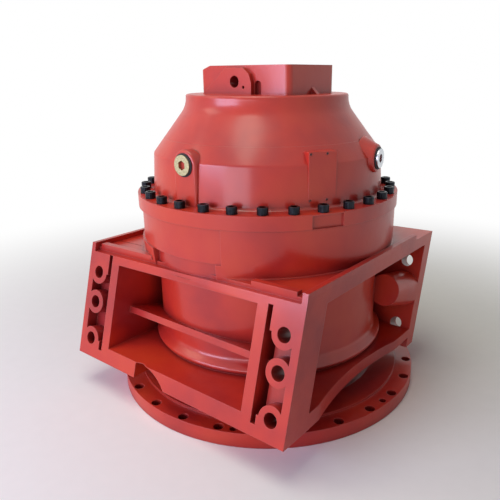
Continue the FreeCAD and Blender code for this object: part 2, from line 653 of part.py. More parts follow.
frame_tools = []
for side in (-1, 1):
    for name, height in (("High", "foot_hole_high"), ("Mid", "foot_hole_mid"), ("Low", "foot_hole_low")):
        frame_tools.append(frame_hole(f"Foot{name}_{side + 1}", side, f"{frame_front} - 1", "pad_depth + 6",
                                      height))
    for name, height in (("High", "foot_hole_high"), ("Low", "foot_hole_low")):
        frame_tools.append(frame_hole(f"Back{name}_{side + 1}", side, f"{frame_back} - wing_thick - 1",
                                      "wing_thick + 2", f"{height} + back_hole_shift"))
    frame_tools.append(frame_hole(f"BackMid_{side + 1}", side, f"{frame_back} - 45", "46",
                                  "foot_hole_mid + back_hole_shift"))
    slot_inner = "foot_hole_row - slot_offset - slot_width / 2"
    for name, low, high in (("High", "foot_hole_mid + 6", "foot_hole_high + 38"),
                            ("Low", "foot_hole_low - 16", "foot_hole_mid - 8")):
        frame_tools.append(tilted(box(
            f"Slot{name}_{side + 1}", mirrored_span(side, slot_inner, f"{slot_inner} + slot_width"),
            (f"{frame_front} - 1", f"{frame_front} + slot_depth"), (low, high))))
    pocket = tilted(box(
        f"Pocket_{side + 1}", mirrored_span(side, slot_inner, "pocket_reach"),
        (f"{frame_front} - 1", f"{frame_front} + pocket_depth"), ("foot_hole_low", "foot_hole_high")))
    bosses = [frame_hole(f"Boss{index}_{side + 1}", side, f"{frame_front} - 2", "pocket_depth + 4", height,
                         "foot_boss_radius")
              for index, height in enumerate(("foot_hole_high", "foot_hole_mid", "foot_hole_low"))]
    frame_tools.append(cut(f"PocketTool_{side + 1}", pocket, fused(f"Bosses_{side + 1}", bosses)))
arch = doc.addObject("Part::Cylinder", "Arch")
bind(arch, "Radius", "arch_radius")
bind(arch, "Height", "pad_depth + 2")
arch.Placement = Placement(Vector(number("arch_shift"), number(f"{frame_front} - 1"), -number("arch_drop")),
                           Rotation(Vector(1, 0, 0), -90))
frame_tools.append(common("ArchTool", [tilted(arch), box(
    "ArchRange", ("arch_end", pad_inner), ("-500", "0"), ("0", "200"))]))


frame_tools.append(sector("RimCut", "rim_cut_radius", "rim_radius + 20", "panel_top", "joint_height",
                          "rim_cut_start", "rim_cut_span"))
joint_angles = around(int(number("joint_screw_count")), 6)
frame_tools += rod_circle("JointTap", "joint_screw_radius + pin_play",
                          "joint_height - joint_screw_length + cover_flange_thick - 2",
                          "joint_height + 1", "joint_screw_circle", joint_angles)
frame_tools += rod_circle("NeckTap", "neck_screw_radius + pin_play", "housing_bottom - 1",
                          "housing_bottom + neck_screw_depth + 2",
                          neck_screw_circle, neck_angles)
frame_tools.append(level_rod("DrainTap", "drain_thread_radius + pin_play",
                             "drain_face - sump_radius + 2 * drain_tap + 1",
                             *polar(number("sump_radius - drain_tap"), drain_angle),
                             drain_height, drain_angle))
keep("housing",
     cut("Housing", cut("HousingHollow", housing_solid, housing_inside), fused("FrameTools", frame_tools)))
drain_stem = level_rod("DrainStem", "drain_thread_radius", "drain_stem",
                       *polar(number("drain_face - drain_stem"), drain_angle), drain_height, drain_angle)
drain_head = level_rod("DrainHead", "drain_head_radius", "drain_head",
                       *polar(number("drain_face"), drain_angle), drain_height, drain_angle)
keep("oil_drain_plug", fused("OilDrainPlug", [drain_stem, drain_head]))

# Cast cover: bell, joint flange, bosses and motor block

cover_top = "joint_height + cover_flange_thick"
o_ring_low = "joint_height - 14"
cover_mass = turned("CoverMass", [
    ("0", "output_bottom + output_width + seat_gap"),
    ("spigot_radius", "output_bottom + output_width + seat_gap"),
    ("spigot_radius", o_ring_low), ("spigot_radius - 2 * o_ring_radius", o_ring_low),
    ("spigot_radius - 2 * o_ring_radius", f"{o_ring_low} + 2.4 * o_ring_radius"),
    ("spigot_radius", f"{o_ring_low} + 2.4 * o_ring_radius"), ("spigot_radius", "joint_height"),
    ("cover_flange_radius", "joint_height"), ("cover_flange_radius", cover_top),
    ("cover_foot_radius", cover_top), ("cover_shoulder_radius", "cover_shoulder_height"),
    ("collar_radius", "collar_bottom"),
    ("collar_radius", "collar_top"), ("0", "collar_top")])
cover_round = rounded_rims("CoverRound", cover_mass, [
    ("collar_radius", "collar_bottom", "flare_round"), ("collar_radius", "collar_top", "collar_round"),
    ("cover_shoulder_radius", "cover_shoulder_height", "shoulder_round"),
    ("cover_foot_radius", cover_top, "foot_round")])
motor_block = box("MotorBlock", ("-block_length / 2", "block_length / 2"),
                  ("-block_width / 2", "block_width / 2"),
                  ("collar_top - 20", "block_top"))
plug_boss = box("PlugBoss", ("-plug_boss_width / 2", "plug_boss_width / 2"),
                ("-plug_boss_face", "boss_root - plug_boss_face"),
                ("plug_boss_bottom", "plug_boss_top"))
fitting_boss = turned_to(box("FittingBoss", ("plug_boss_face - boss_root", "plug_boss_face"),
                             ("-plug_boss_width / 2", "plug_boss_width / 2"),
                             ("plug_boss_bottom", "plug_boss_top")), number("fitting_angle"))
plate_pad = turned_to(box("PlatePad", ("plug_boss_face - boss_root", "plate_face"),
                          ("-plate_width / 2", "plate_width / 2"),
                          ("plate_bottom", "plate_top")), number("plate_angle"))
rounded_block = doc.addObject("Part::Fillet", "RoundedBlock")
rounded_block.Base = motor_block
corner = number("block_corner")
rounded_block.Edges = [(index, corner, corner) for index in (1, 3, 5, 7)]
sensor_boss = doc.addObject("PartDesign::Body", "SensorBoss")
sensor_profile = outline(sensor_boss, "SensorProfile", "XZ_Plane", [
    ("-boss_foot", "collar_top - 5"), ("-boss_foot", "collar_top"), ("-boss_shoulder", "block_top - 4"),
    ("boss_reach - 19", "block_top - 4"), ("boss_reach - 5", "block_top - 14"),
    ("boss_reach", "block_top - 28"),
    ("boss_reach", "collar_top - 5")])
sensor_pad = sensor_boss.newObject("PartDesign::Pad", "SensorPad")
sensor_pad.Profile = sensor_profile
bind(sensor_pad, "Length", "block_width / 2 + sensor_boss_rise")
block_gusset = box("BlockGusset", ("-gusset", "gusset"), ("-gusset / 2", "gusset / 2"),
                   ("-gusset", "gusset"))
block_gusset.Placement = Placement(Vector(number("block_length / 2"), 0, number("collar_top")),
                                   Rotation(Vector(0, 1, 0), 45)) * block_gusset.Placement
cover_solid = fused("CoverSolid",
                    [cover_round, rounded_block, plug_boss, fitting_boss, plate_pad, sensor_boss,
                     block_gusset])

middle_top = "middle_bottom + middle_width"
input_top = "input_bottom + input_width"
bearing_top = "collar_top"
bearing_low = f"{bearing_top} - input_bearing_width"
cover_inside = turned("CoverInside", [
    ("0", "output_bottom"), ("spigot_radius - spigot_wall", "output_bottom"),
    ("spigot_radius - spigot_wall", "middle_bottom"), ("middle_ring_radius + fit_gap", "middle_bottom"),
    ("middle_ring_radius + fit_gap", middle_top), ("middle_ring_radius - 8", middle_top),
    ("input_ring_radius + 14", "input_bottom"), ("input_ring_radius + fit_gap", "input_bottom"),
    ("input_ring_radius + fit_gap", input_top), ("input_plate_radius + 8", input_top),
    ("input_plate_radius + 8", f"{bearing_low} - 4"),
    ("input_bearing_radius + fit_gap", f"{bearing_low} - 4"),
    ("input_bearing_radius + fit_gap", bearing_top), ("input_seal_radius + fit_gap", bearing_top),
    ("input_seal_radius + fit_gap", f"{bearing_top} + input_seal_width + 1"),
    ("well_radius", f"{bearing_top} + input_seal_width + 1"), ("well_radius", "block_top - pilot_depth"),
    ("pilot_radius", "block_top - pilot_depth"), ("pilot_radius", "block_top + 5"), ("0", "block_top + 5")])
cover_tools = [cover_inside]
cover_tools += rod_circle("JointBore", "joint_screw_radius + bolt_gap", "joint_height - 1",
                          f"{cover_top} + 1",
                          "joint_screw_circle", joint_angles)
cover_tools.append(turned_to(box(
    "FlangeFlat", ("cover_flange_radius - flat_depth", "cover_flange_radius + 20"),
    ("-flat_width / 2", "flat_width / 2"),
    ("joint_height + 1", f"{cover_top} - 2")), number("flat_angle")))
for index, (x_side, y_side) in enumerate(((-1, -1), (1, -1), (1, 1), (-1, 1))):
    tap = rod(f"MotorTap_{index}", "motor_bolt_radius", "block_top - motor_bolt_depth", "block_top + 1",
              f"{x_side} * motor_bolt_pitch / 2", f"{y_side} * motor_bolt_pitch / 2")
    cover_tools.append(tap)
tap_start = number("plug_boss_face - plug_tap")
cover_tools.append(level_rod("PlugTap", "plug_thread_radius + pin_play", "plug_tap + 13",
                             *polar(tap_start, -90),
                             number("plug_height"), -90))
fitting_turn = number("fitting_angle")
cover_tools.append(level_rod("FittingTap", "plug_thread_radius + pin_play", "plug_tap + 13",
                             *polar(tap_start, fitting_turn),
                             number("plug_height"), fitting_turn))
sensor_port = doc.addObject("Part::Cylinder", "SensorPort")
bind(sensor_port, "Radius", "sensor_port_radius")
bind(sensor_port, "Height", "block_width / 2 + sensor_boss_rise + 5 - pilot_radius")
facing_front = Rotation(Vector(1, 0, 0), 90)
sensor_port.Placement = Placement(Vector(number("sensor_shift"), -number("pilot_radius - 8"),
                                         number("sensor_height")),
                                  facing_front)
cover_tools.append(sensor_port)
lock_hole = doc.addObject("Part::Cylinder", "LockHole")
bind(lock_hole, "Radius", "lock_hole_radius")
bind(lock_hole, "Height", "lock_hole_depth")
lock_hole.Placement = Placement(Vector(number("lock_hole_shift"), -number("block_width / 2"),
                                       number("lock_hole_height")),
                                facing_front)
cover_tools.append(lock_hole)
niche_top = doc.addObject("Part::Cylinder", "NicheTop")
bind(niche_top, "Radius", "niche_radius")
bind(niche_top, "Height", "niche_depth + 5")
niche_top.Placement = Placement(Vector(number("niche_shift"), -number("block_width / 2 - niche_depth"),
                                       number("niche_spring")), facing_front)
niche_foot = box("NicheFoot", ("niche_shift - niche_radius", "niche_shift + niche_radius"),
                 ("-block_width / 2 - 5", "-block_width / 2 + niche_depth"), ("collar_top", "niche_spring"))
cover_tools += [niche_top, niche_foot]
slope_block = box("SlopeBlock", ("-60", "0"), ("-100", "100"), ("0", "30"))
slope = math.degrees(math.atan2(number("block_slope_drop"), number("block_slope_length")))
slope_block.Placement = Placement(Vector(number("block_slope_length - block_length / 2"), 0,
                                         number("block_top")),
                                  Rotation(Vector(0, 1, 0), -slope)) * slope_block.Placement
cover_tools.append(slope_block)
keep("cover", cut("Cover", cover_solid, fused("CoverTools", cover_tools)))

o_ring = doc.addObject("Part::Torus", "JointORing")
bind(o_ring, "Radius1", "spigot_radius - o_ring_radius")
bind(o_ring, "Radius2", "o_ring_radius")
placed(o_ring, "0", "0", f"{o_ring_low} + 1.2 * o_ring_radius")
keep("joint_o_ring", o_ring)

joint_screws = []
for index, angle in enumerate(joint_angles):
    stem = rod(f"JointStem_{index}", "joint_screw_radius", f"{cover_top} - joint_screw_length", cover_top)
    cap = rod(f"JointCap_{index}", "joint_screw_head_radius", cover_top, f"{cover_top} + joint_screw_head")
    for piece in (stem, cap):
        x, y = polar(number("joint_screw_circle"), angle)
        piece.Placement.Base = Vector(x, y, piece.Placement.Base.z)
    joint_screws.append(fused(f"JointScrew_{index}", [stem, cap]))
keep("cover_screws", compound("CoverScrews", joint_screws))


def hex_plug(label, angle):
    """A screwed plug with a flat collar and a hexagon socket."""
    height = number("plug_height")
    face = number("plug_boss_face")
    stem = level_rod(label + "Stem", "plug_thread_radius", "plug_stem",
                     *polar(face - number("plug_stem"), angle), height, angle)
    collar = level_rod(label + "Collar", "plug_radius", "plug_head", *polar(face, angle), height, angle)
    socket = doc.addObject("Part::Prism", label + "Socket")
    socket.Polygon = 6
    bind(socket, "Circumradius", "plug_socket_radius")
    bind(socket, "Height", "plug_socket_depth + plug_head + 1")
    facing = Rotation(Vector(0, 0, 1), angle) * Rotation(Vector(0, 1, 0), 90)
    x, y = polar(face - number("plug_socket_depth"), angle)
    socket.Placement = Placement(Vector(x, y, height), facing)
    return cut(label, fused(label + "Body", [stem, collar]), socket)


keep("oil_fill_plug", hex_plug("OilFillPlug", -90))
keep("oil_level_plug", hex_plug("OilLevelPlug", fitting_turn))

# Planetary stages

STAGES = ("input", "middle", "output")


def stage(name):
    """Ring gear, planets, pins and sun teeth of one planetary stage."""
    module = number(f"{name}_module")
    sun_teeth = int(number(f"{name}_sun_teeth"))
    planet_teeth = int(number(f"{name}_planet_teeth"))
    ring_teeth = sun_teeth + 2 * planet_teeth
    count = int(number(f"{name}_planets"))
    low = number(f"{name}_bottom")
    width = number(f"{name}_width")
    circle = module * (sun_teeth + planet_teeth) / 2
    blank = ring(f"RingBlank_{name}",
                 f"{name}_module * {ring_teeth} / 2 - tooth_height_share * {name}_module",
                 f"{name}_ring_radius", f"{name}_bottom", f"{name}_bottom + {name}_width")
    gaps = shaped(f"RingGaps_{name}", ring_gap_solid(ring_teeth, module, low - 1, width + 2, 0.0))
    keep(f"ring_gear_{name}", cut(f"RingGear_{name}", blank, gaps))
    half_pitch = math.pi / planet_teeth
    for index, angle in enumerate(around(count)):
        turn = math.radians(angle)
        # the planet's tooth that points outwards sits in the ring's gap there
        first = turn - turn * ring_teeth / planet_teeth
        blank = wheel_solid(planet_teeth, module, low + 2, width - 4, first)
        bore = Part.makeCylinder(number(f"{name}_pin_radius + pin_play"), width, Vector(0, 0, low))
        wheel = shaped(f"Planet_{name}_{index}", blank.cut(bore))
        wheel.Placement = Placement(Vector(*polar(circle, angle), 0), Rotation())
        keep(f"planet_{name}_{index + 1}", wheel)
    # a sun gap faces each planet's inward tooth; with an even planet that tooth is opposite the outward one
    inward_is_tooth = planet_teeth % 2 == 0
    sun_first = math.pi / sun_teeth if inward_is_tooth else 0.0
    teeth = wheel_solid(sun_teeth, module, low, width, sun_first)
    return circle, count, shaped(f"SunTeeth_{name}", teeth)


def carrier(name, circle, count, low_extra, bore_low, bore_high):
    """Two plates joined by posts between the planets."""
    bottom = f"{name}_bottom"
    top = f"{name}_bottom + {name}_width"
    lower = ring(f"LowerPlate_{name}", bore_low, f"{name}_plate_radius",
                 f"{bottom} - face_gap - 2 - {name}_plate_thick", f"{bottom} - face_gap - 2")
    upper = ring(f"UpperPlate_{name}", bore_high, f"{name}_plate_radius",
                 f"{top} + face_gap + 2", f"{top} + face_gap + 2 + {name}_plate_thick")
    posts = rod_circle(f"Post_{name}", f"{name}_post_radius", f"{bottom} - face_gap - 3",
                       f"{top} + face_gap + 3",
                       f"{name}_post_circle", around(count, 180.0 / count))
    body = fused(f"CarrierSolid_{name}", [lower, upper] + posts + low_extra)
    bores = rod_circle(f"PinBore_{name}", f"{name}_pin_radius", f"{bottom} - face_gap - {name}_plate_thick",
                       f"{top} + face_gap + {name}_plate_thick", str(circle), around(count))
    keep(f"carrier_{name}", cut(f"Carrier_{name}", body, fused(f"PinBores_{name}", bores)))
    pins = rod_circle(f"Pin_{name}", f"{name}_pin_radius", f"{bottom} - face_gap - {name}_plate_thick",
                      f"{top} + face_gap + {name}_plate_thick", str(circle), around(count))
    keep(f"planet_pins_{name}", compound(f"PlanetPins_{name}", pins))


input_circle, input_count, input_teeth = stage("input")
middle_circle, middle_count, middle_teeth = stage("middle")
output_circle, output_count, output_teeth = stage("output")

crown_low = "swivel_height - crown_width / 2"
crown_high = "swivel_height + crown_width / 2"
journal_low = "carrier_seat_height + face_gap"
plate_low = "output_bottom - face_gap - 2 - output_plate_thick"
journal = turned("OutputJournal", [
    ("0", f"{crown_low} - 1"), ("stub_radius", f"{crown_low} - 1"), ("stub_radius", journal_low),
    ("journal_radius", journal_low), ("journal_radius", f"{plate_low} + 4"), ("0", f"{plate_low} + 4")])
output_sun_bore = "output_module * output_sun_teeth / 2 + output_module * 1.4"
middle_sun_bore = "middle_module * middle_sun_teeth / 2 + middle_module * 1.4"
input_sun_bore = "input_module * input_sun_teeth / 2 + input_module * 1.4"
carrier("output", output_circle, output_count, [journal], "output_plate_bore", output_sun_bore)
carrier("middle", middle_circle, middle_count, [], "output_shaft_radius", middle_sun_bore)
carrier("input", input_circle, input_count, [], "middle_shaft_radius", input_sun_bore)

crown_blank = ring("CrownBlank", "stub_radius", "crown_root_radius", crown_low, crown_high)
crown_blades = [
    turned_to(box(f"CrownTooth_{index}", ("crown_root_radius - 2", "crown_tip_radius"),
                  ("-crown_tooth / 2", "crown_tooth / 2"), (crown_low, crown_high)), angle)
    for index, angle in enumerate(around(int(number("crown_teeth"))))]
keep("crown_gear", fused("CrownGear", [crown_blank] + crown_blades))
keep("crown_retaining_disc",
     rod("CrownRetainingDisc", "stub_radius + 7", f"{crown_low} - 6", f"{crown_low} - 1"))

output_shaft = rod("OutputSunShaft", "output_shaft_radius", "output_bottom + output_width - 1",
                   "middle_bottom - face_gap - 2")
keep("sun_output", fused("SunOutput", [output_teeth, output_shaft]))
middle_shaft = rod("MiddleSunShaft", "middle_shaft_radius", "middle_bottom + middle_width - 1",
                   "input_bottom - face_gap - 2")
keep("sun_middle", fused("SunMiddle", [middle_teeth, middle_shaft]))
input_shaft = turned("InputShaftTurned", [
    ("0", f"{input_top} - 1"), ("input_shaft_radius", f"{input_top} - 1"),
    ("input_shaft_radius", "input_shaft_top"),
    ("socket_bore_radius", "input_shaft_top"), ("socket_bore_radius", "input_shaft_top - socket_depth"),
    ("0", "input_shaft_top - socket_depth")])
keep("input_shaft", fused("InputShaft", [input_teeth, input_shaft]))

keep("carrier_bush", ring("CarrierBush", "journal_radius + pin_play", "carrier_seat_radius",
                          "carrier_seat_height", "carrier_seat_height + carrier_seat_depth - 1"))
keep("input_bearing", ring("InputBearing", "input_shaft_radius + pin_play", "input_bearing_radius",
                           bearing_low, bearing_top))
keep("input_seal", ring("InputSeal", "input_shaft_radius + pin_play", "input_seal_radius",
                        bearing_top, f"{bearing_top} + input_seal_width"))

doc.recompute()

faults = [f"{feature.Name}: {feature.State}" for feature in doc.Objects
          if "Invalid" in feature.State or "Error" in feature.State]
for node, feature in PARTS.items():
    if feature.Shape.isNull() or not feature.Shape.isValid():
        faults.append(f"{node}: shape is not valid")
if faults:
    raise RuntimeError("; ".join(faults))
for node, feature in PARTS.items():
    feature.Shape.exportStep(f"parts/{node}.step")
    print(node, len(feature.Shape.Solids), round(feature.Shape.Volume / 1000, 1))
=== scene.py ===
"""Looks of a concrete mixer's drum gearbox: enamelled castings, joint screws, plugs and a studio."""

import json
import math

import bmesh
import bpy
from bpy.props import FloatProperty, IntProperty, PointerProperty, StringProperty
from mathutils import Matrix, Vector


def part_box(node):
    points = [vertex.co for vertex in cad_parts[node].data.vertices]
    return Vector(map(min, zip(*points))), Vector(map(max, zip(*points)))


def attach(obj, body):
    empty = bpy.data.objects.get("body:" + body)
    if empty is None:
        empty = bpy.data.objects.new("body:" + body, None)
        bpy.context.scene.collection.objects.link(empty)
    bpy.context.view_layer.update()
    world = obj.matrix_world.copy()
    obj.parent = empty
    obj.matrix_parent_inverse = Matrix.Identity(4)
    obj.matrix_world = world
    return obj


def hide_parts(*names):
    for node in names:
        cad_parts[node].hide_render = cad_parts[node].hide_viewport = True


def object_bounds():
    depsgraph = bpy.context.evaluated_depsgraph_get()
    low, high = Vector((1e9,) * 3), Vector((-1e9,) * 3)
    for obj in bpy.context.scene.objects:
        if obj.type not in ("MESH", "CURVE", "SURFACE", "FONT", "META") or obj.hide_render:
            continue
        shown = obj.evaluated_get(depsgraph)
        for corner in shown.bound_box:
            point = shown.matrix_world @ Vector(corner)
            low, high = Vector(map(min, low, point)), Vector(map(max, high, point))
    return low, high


bl_info = {
    "name": "Mixer Drum Gearbox Dressing",
    "version": (1, 0, 0),
    "blender": (4, 5, 0),
    "location": "View3D > Sidebar > Gearbox",
    "description": "Dresses the packed drum gearbox and sets its studio",
    "category": "Object",
}

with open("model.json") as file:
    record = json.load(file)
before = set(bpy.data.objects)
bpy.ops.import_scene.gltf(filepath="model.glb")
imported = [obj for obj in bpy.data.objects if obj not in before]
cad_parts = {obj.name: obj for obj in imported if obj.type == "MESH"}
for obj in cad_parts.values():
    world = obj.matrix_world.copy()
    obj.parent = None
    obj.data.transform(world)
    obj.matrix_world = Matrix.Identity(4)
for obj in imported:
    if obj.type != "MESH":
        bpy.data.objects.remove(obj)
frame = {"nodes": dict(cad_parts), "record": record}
CAD_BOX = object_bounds()

SCREW_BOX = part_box("cover_screws")

# an edge is drawn sharp where its faces turn by more than this
SHARP_ANGLE = math.radians(32)

# radius that stands for zero where a turned outline starts on its axis
ON_AXIS = 0.00001


# Sizes and colours

class EnamelSettings(bpy.types.PropertyGroup):
    """Colours of the gearbox's paint, with its painted edge highlights and painted corner shade."""

    base: StringProperty(name="Enamel", description="Sprayed alkyd enamel, sRGB hex", default="BC2F22")
    warm: StringProperty(name="Thin enamel", description="Warmer tone where the coat is thin",
                         default="C43A21")
    deep: StringProperty(name="Thick enamel", description="Deeper tone where the coat gathers",
                         default="9C2325")
    # painted shade: this dark tone is drawn into the paint near corners, where shade falls
    painted_corner_shade: StringProperty(name="Painted corner shade",
                          description="Painted shade, a dark tone drawn near corners",
                          default="6E1A1C")
    # painted highlight: this paler tone is drawn along raised edges
    edge: StringProperty(name="Painted edge highlight", description="Painted highlight, a paler tone along raised edges",
                         default="C8564E")
    edge_radius: FloatProperty(name="Edge radius", description="Rounding that paint gives a cast edge",
                               default=0.0022, min=0.0, unit="LENGTH")
    orange_peel: FloatProperty(name="Orange peel", description="Width of the spray coat's small dimples",
                               default=0.004, min=0.0005, unit="LENGTH")
    sand_cast: FloatProperty(name="Cast unevenness", description="Width of the sand casting's soft waves",
                             default=0.035, min=0.005, unit="LENGTH")


class ScrewSettings(bpy.types.PropertyGroup):
    """Sizes of the M12 socket screws on the cover's flange."""

    count: IntProperty(name="Screws", description="Screws round the cover's flange", default=30, min=3)
    circle: FloatProperty(name="Screw circle", description="Radius of the screw circle",
                          default=0.2305, min=0.01, unit="LENGTH")
    first: FloatProperty(name="First screw", description="Angle of the first screw about the drum axis",
                         default=math.radians(6), subtype="ANGLE")
    head: FloatProperty(name="Head radius", description="Radius of the M12 socket head",
                        default=0.009, min=0.001, unit="LENGTH")
    height: FloatProperty(name="Head height", description="Height of the M12 socket head",
                          default=0.012, min=0.001, unit="LENGTH")
    socket: FloatProperty(name="Socket radius", description="Corner radius of the 10 mm hexagon socket",
                          default=0.00577, min=0.001, unit="LENGTH")
    knurl: FloatProperty(name="Knurl depth", description="Depth of the head's straight knurl",
                         default=0.00035, min=0.0, unit="LENGTH")


class PlugSettings(bpy.types.PropertyGroup):
    """Places of the oil plugs and sizes of the bonded washers under them."""

    fill_angle: FloatProperty(name="Fill plug", description="Angle about the drum axis",
                              default=math.radians(-90), subtype="ANGLE")
    level_angle: FloatProperty(name="Level plug", description="Angle about the drum axis",
                               default=math.radians(8), subtype="ANGLE")
    drain_angle: FloatProperty(name="Drain plug", description="Angle about the drum axis",
                               default=math.radians(90), subtype="ANGLE")
    upper_face: FloatProperty(name="Upper boss face",
                              description="Distance of the upper bosses' faces from the axis",
                              default=0.217, unit="LENGTH")
    upper_height: FloatProperty(name="Upper plug height", description="Height of the fill and level plugs",
                                default=0.443, unit="LENGTH")
    drain_face: FloatProperty(name="Drain boss face",
                              description="Distance of the drain boss's face from the axis",
                              default=0.230, unit="LENGTH")
    drain_height: FloatProperty(name="Drain plug height", description="Height of the drain plug",
                                default=0.130, unit="LENGTH")
    washer: FloatProperty(name="Washer radius",
                          description="Outer radius of the upper plugs' bonded washers",
                          default=0.019, unit="LENGTH")
    drain_washer: FloatProperty(name="Drain washer radius",
                                description="Outer radius of the drain plug's washer",
                                default=0.0142, unit="LENGTH")
    thickness: FloatProperty(name="Washer thickness", description="Thickness of the bonded washers",
                             default=0.0024, unit="LENGTH")


class CoveSettings(bpy.types.PropertyGroup):
    """The cast fillet where the housing's wall stands on the top web."""

    wall: FloatProperty(name="Wall radius", description="Radius of the wall above the web", default=0.236,
                        unit="LENGTH")
    height: FloatProperty(name="Web height", description="Height of the web's top on the drum axis",
                          default=0.270, unit="LENGTH")
    lean: FloatProperty(name="Web lean", description="Rise of the web along X", default=math.radians(1.6),
                        subtype="ANGLE")
    size: FloatProperty(name="Fillet size", description="Radius of the fillet", default=0.008,
                        unit="LENGTH")
    right_start: FloatProperty(name="Right start", description="Angle at the right bar",
                               default=math.radians(-68), subtype="ANGLE")
    right_end: FloatProperty(name="Right end", description="Angle at the web's right back edge",
                             default=math.radians(36), subtype="ANGLE")
    left_start: FloatProperty(name="Left start", description="Angle at the web's left back edge",
                              default=math.radians(144), subtype="ANGLE")
    left_end: FloatProperty(name="Left end", description="Angle at the left bar",
                            default=math.radians(248), subtype="ANGLE")


class ShoulderSettings(bpy.types.PropertyGroup):
    """The cover's wall, its crisp shoulder and the cast bosses on it."""

    foot_radius: FloatProperty(name="Foot radius", description="Radius of the wall at its foot",
                               default=0.214, unit="LENGTH")
    foot_height: FloatProperty(name="Foot height", description="Height of the wall's foot on the drum axis",
                               default=0.378, unit="LENGTH")
    corner_radius: FloatProperty(name="Shoulder radius", description="Radius where the wall meets the cone",
                                 default=0.210, unit="LENGTH")
    corner_height: FloatProperty(name="Shoulder height", description="Height where the wall meets the cone",
                                 default=0.446, unit="LENGTH")
    cone_radius: FloatProperty(name="Cone radius", description="Radius of the cone's top", default=0.148,
                               unit="LENGTH")
    cone_height: FloatProperty(name="Cone height", description="Height of the cone's top", default=0.527,
                               unit="LENGTH")
    rounding: FloatProperty(name="Shoulder rounding", description="Radius of the cast edge", default=0.007,
                            min=0.001, unit="LENGTH")
    reach: FloatProperty(name="Reach", description="Length of the shoulder's band up the cone",
                         default=0.034, unit="LENGTH")
    proud: FloatProperty(name="Paint", description="Thickness by which the band covers the plain casting",
                         default=0.00015, unit="LENGTH")
    boss: FloatProperty(name="Boss radius", description="Radius of the bosses' faces round the plugs",
                        default=0.024, unit="LENGTH")
    lump: FloatProperty(name="Level boss foot", description="Radius of the level plug's boss at the wall",
                        default=0.036, unit="LENGTH")
    port: FloatProperty(name="Sensor port", description="Radius of the speed sensor's port", default=0.010,
                        unit="LENGTH")
    port_across: FloatProperty(name="Port across", description="Place of the port along X", default=-0.010,
                               unit="LENGTH")
    port_height: FloatProperty(name="Port height", description="Height of the port", default=0.568,
                               unit="LENGTH")
    port_from: FloatProperty(name="Port's outer end", description="Y just outside the sensor boss",
                             default=-0.083, unit="LENGTH")
    port_to: FloatProperty(name="Port's inner end", description="Y inside the port's bore", default=-0.062,
                           unit="LENGTH")


class PlateSettings(bpy.types.PropertyGroup):
    """Four rivet holes on the pad for the type plate, which isn't fitted."""

    angle: FloatProperty(name="Pad angle", description="Angle of the pad about the drum axis",
                         default=math.radians(-28), subtype="ANGLE")
    face: FloatProperty(name="Pad face", description="Distance of the pad's face from the axis",
                        default=0.212, unit="LENGTH")
    across: FloatProperty(name="Holes across", description="Half the spacing of the holes across the pad",
                          default=0.0145, unit="LENGTH")
    shift: FloatProperty(name="Shift", description="Place of the holes' middle across the pad",
                         default=-0.0075, unit="LENGTH")
    low: FloatProperty(name="Lower holes", description="Height of the lower holes", default=0.3905,
                       unit="LENGTH")
    high: FloatProperty(name="Upper holes", description="Height of the upper holes", default=0.463,
                        unit="LENGTH")
    radius: FloatProperty(name="Hole radius", description="Radius of the 3.2 mm rivet holes",
                          default=0.0016, unit="LENGTH")


class StudioSettings(bpy.types.PropertyGroup):
    """Camera place and light of the studio."""

    distance: FloatProperty(name="Camera distance", description="Level distance from the drum axis",
                            default=1.0372, min=0.2, unit="LENGTH")
    height: FloatProperty(name="Camera height", description="Height above the drum flange's face",
                          default=0.580, unit="LENGTH")
    turn: FloatProperty(name="Camera turn", description="Angle round the drum axis from the base face",
                        default=math.radians(38), subtype="ANGLE")
    pitch: FloatProperty(name="Camera pitch", description="Angle that the camera looks down",
                         default=math.radians(17.9), subtype="ANGLE")
    roll: FloatProperty(name="Camera roll", description="Small turn of the picture",
                        default=-0.0063, subtype="ANGLE")
    lens: FloatProperty(name="Lens", description="Focal length on a 36 mm sensor", default=39.19, min=10)
    shift: FloatProperty(name="Shift", description="Sideways shift of the picture", default=-0.0362)
    backdrop: StringProperty(name="Backdrop", description="Floor and backdrop colour, sRGB hex",
                             default="F4F4F4")


# Materials

def linear(code):
    """An sRGB hex colour as linear RGBA."""
    parts = [int(code[i:i + 2], 16) / 255 for i in (0, 2, 4)]
    return [p / 12.92 if p <= 0.04045 else ((p + 0.055) / 1.055) ** 2.4 for p in parts] + [1.0]


def add(tree, kind, links=None, **settings):
    """Adds a node, sets its properties or sockets by name and links its inputs."""
    node = tree.nodes.new(kind)
    for key, value in settings.items():
        if hasattr(node, key):
            setattr(node, key, value)
        else:
            node.inputs[key.replace("_", " ")].default_value = value
    for socket, source in (links or {}).items():
        tree.links.new(source, node.inputs[socket])
    return node


def blank(name):
    """A material with only an output and its tree."""
    material = bpy.data.materials.new(name)
    material.use_nodes = True
    tree = material.node_tree
    tree.nodes.clear()
    return material, tree, tree.nodes.new("ShaderNodeOutputMaterial")


def two_tones(tree, factor, first, second, low=0.0, high=1.0):
    """A ramp from one hex tone to another, between two values of the factor."""
    ramp = add(tree, "ShaderNodeValToRGB", {"Fac": factor})
    for index, (tone, position) in enumerate(((first, low), (second, high))):
        ramp.color_ramp.elements[index].color = linear(tone)
        ramp.color_ramp.elements[index].position = position
    return ramp


def tinted(tree, factor, colour, code):
    """A colour that turns to a hex tone as the factor rises."""
    mix = add(tree, "ShaderNodeMix", {"Factor": factor, 6: colour}, data_type="RGBA")
    mix.inputs[7].default_value = linear(code)
    return mix.outputs[2]


